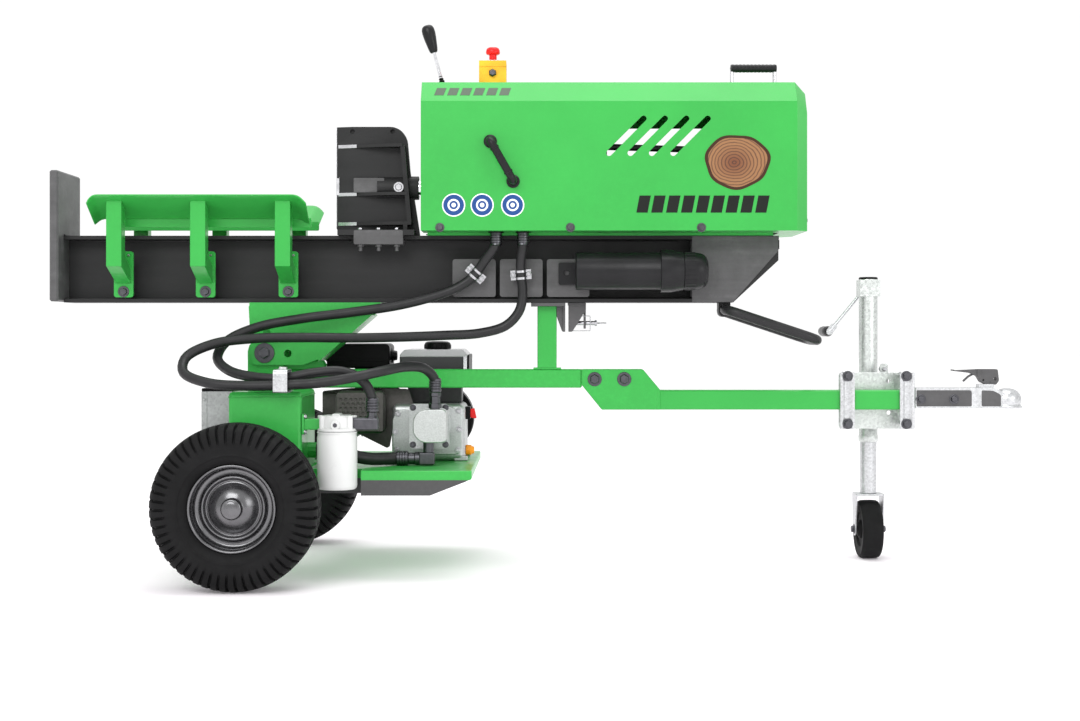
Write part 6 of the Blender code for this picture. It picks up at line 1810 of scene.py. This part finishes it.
def jack_crank():
    """The crank's shaft, arm and grip."""
    end = Vector((0.781, 0.595))
    start = Vector((JACK_X, CRANK_Z))
    along = (end - start).normalized()
    rod_end = end + along * 0.004
    arm = bar("crank_arm", (start.x, 0.1555, start.y), (rod_end.x, 0.1555, rod_end.y), 0.0044, 24, 0.001)
    eye = turned("eye", [(0, 0), (0.0085, 0), (0.0085, 0.006), (0, 0.006)], (JACK_X, 0.1525, CRANK_Z),
        AWAY, 32, 0.0008)
    clevis = slab("clevis", capsule(end - along * 0.014, rod_end, 0.0085), "XZ", 0.1515, 0.159, 0.001)
    shaft = rod("shaft", (JACK_X, CRANK_Z), "XZ", 0.1335, 0.16, 0.0066, 32)
    nut = bolt((JACK_X, 0.158, CRANK_Z), AWAY, 0.007, 0.005)
    group("crank_arm_and_shaft", [arm, eye, clevis, shaft, *nut], "jack_handle", "zinc_bright",
        "jack_crank")
    grip_profile = [(0, 0.0005), (0.0095, 0.0005), (0.012, 0.006), (0.014, 0.014), (0.0132, 0.04),
        (0.0138, 0.07), (0.0128, 0.086), (0.0095, 0.096), (0, 0.0985)]
    add(turned("crank_grip", grip_profile, (end.x - 0.004, 0.158, end.y - 0.002), AWAY, 36, 0.0, 50.0),
        "jack_handle", "grip")


def coupler():
    """Pressed ball coupler: bright folded edges as painted highlight, flat sides in a darker painted
    shade, bolts and the latch.
    """
    low_x, ball_x = 0.9635, 1.203
    side_view = filleted([(low_x, 0.398), (ball_x, 0.398), (ball_x, 0.43, 0.01), (1.164, 0.45, 0.024),
        (low_x, 0.45)])
    channel = slab("channel", side_view, "XZ", -0.0285, 0.0285, 0.006, 4)
    nose = turned("nose", [(0, 0), (0.037, 0), (0.0378, 0.0015), (0.0378, 0.004), (0.0345, 0.007),
            (0.0335, 0.01), (0.0358, 0.018), (0.0355, 0.026), (0.0325, 0.035), (0.026, 0.043),
            (0.017, 0.048), (0.008, 0.05), (0, 0.0505)], (ball_x, 0, 0.398), UP, 56)
    inside = block("inside", (low_x - 0.01, -0.0215, 0.38), (1.125, 0.0215, 0.443))
    socket = turned("socket", [(0, 0), (0.0262, 0), (0.0262, 0.036), (0.022, 0.042), (0.012, 0.046),
            (0, 0.047)], (ball_x, 0, 0.393), UP, 48)
    post = block("post", (1.128, -0.016, 0.447), (1.166, 0.016, 0.459), 0.001)
    body = cut(fuse(channel, nose, post), inside, socket)
    soften(body, 0.0012, 2)
    add(body, "chassis", "zinc_bright", "coupler_body")
    # painted highlight and painted shade: darker grey sheets over the flat sides of the one pressed zinc
    # part, so that only its folded edges stay bright
    long_panel = filleted([(0.966, 0.403, 0.003), (1.106, 0.403, 0.003), (1.106, 0.444, 0.006),
        (0.966, 0.444, 0.003)])
    short_panel = filleted([(1.131, 0.403, 0.003), (1.18, 0.403, 0.003), (1.18, 0.433, 0.008),
        (1.16, 0.4425, 0.014), (1.131, 0.444, 0.003)])
    panels = [slab("panel", outline, "XZ", *on_side(side, 0.0284, 0.0292), 0.0003)
        for side in (-1, 1) for outline in (long_panel, short_panel)]
    group("coupler_sides_painted_shade", panels, "chassis", "plate")
    for side in (-1, 1):
        places = [(x, side * 0.029, 0.4215) for x in (0.977, 1.061)]
        bolts(f"coupler_bolts_{side + 1}", "chassis", "dark_bolt", places, (0, side, 0), 0.0085, 0.006)
    latch_outline = filleted([(1.124, 0.482, 0.004), (1.134, 0.464, 0.012), (1.15, 0.4575, 0.006),
        (1.172, 0.4575, 0.006), (1.1795, 0.468, 0.008), (1.176, 0.497, 0.004), (1.124, 0.497, 0.003)])
    latch = slab("latch", latch_outline, "XZ", -0.014, 0.014)
    latch = cut(latch, rod("hole", (1.169, 0.472), "XZ", -0.03, 0.03, 0.0042, 24),
        rod("hole", (1.139, 0.469), "XZ", -0.03, 0.03, 0.003, 24))
    soften(latch, 0.002, 3)
    lever_outline = filleted([(1.062, 0.4925, 0.0015), (1.108, 0.487), (1.126, 0.478), (1.13, 0.497),
        (1.102, 0.4955, 0.004), (1.07, 0.494, 0.002), (1.0625, 0.4965, 0.0012)])
    lever = slab("lever", lever_outline, "XZ", -0.012, 0.012, 0.0012)
    trigger_path = rounded_path([(1.09, -0.004, 0.466), (1.103, -0.004, 0.478), (1.118, -0.004, 0.486)],
        0.006)
    trigger = sweep("trigger", trigger_path, 0.0028, sides=12)
    pin = rod("pin", (1.16, 0.464), "XZ", -0.0155, 0.0155, 0.0036, 24, 0.0008)
    group("latch_lever_pressed", [latch, lever, trigger, pin], "hitch_lever", "plate", "coupler_latch")


tongue_details()
jack_mount()
jack_tube_and_leg()
jack_caster()
jack_crank()
coupler()


# ================================================================ the CAD nodes that stay
LOOKS = {
    "green": ["axle", "pivot_upright", "chassis_tube", "tongue", "engine_tray",
              "hydraulic_tank", "pivot_bracket"],
    "beam": ["splitting_beam"],
    "plate": ["foot_plate"],
    "galvanised": ["battery_box"],
}
for look, nodes in LOOKS.items():
    for node in nodes:
        keep(node, look)
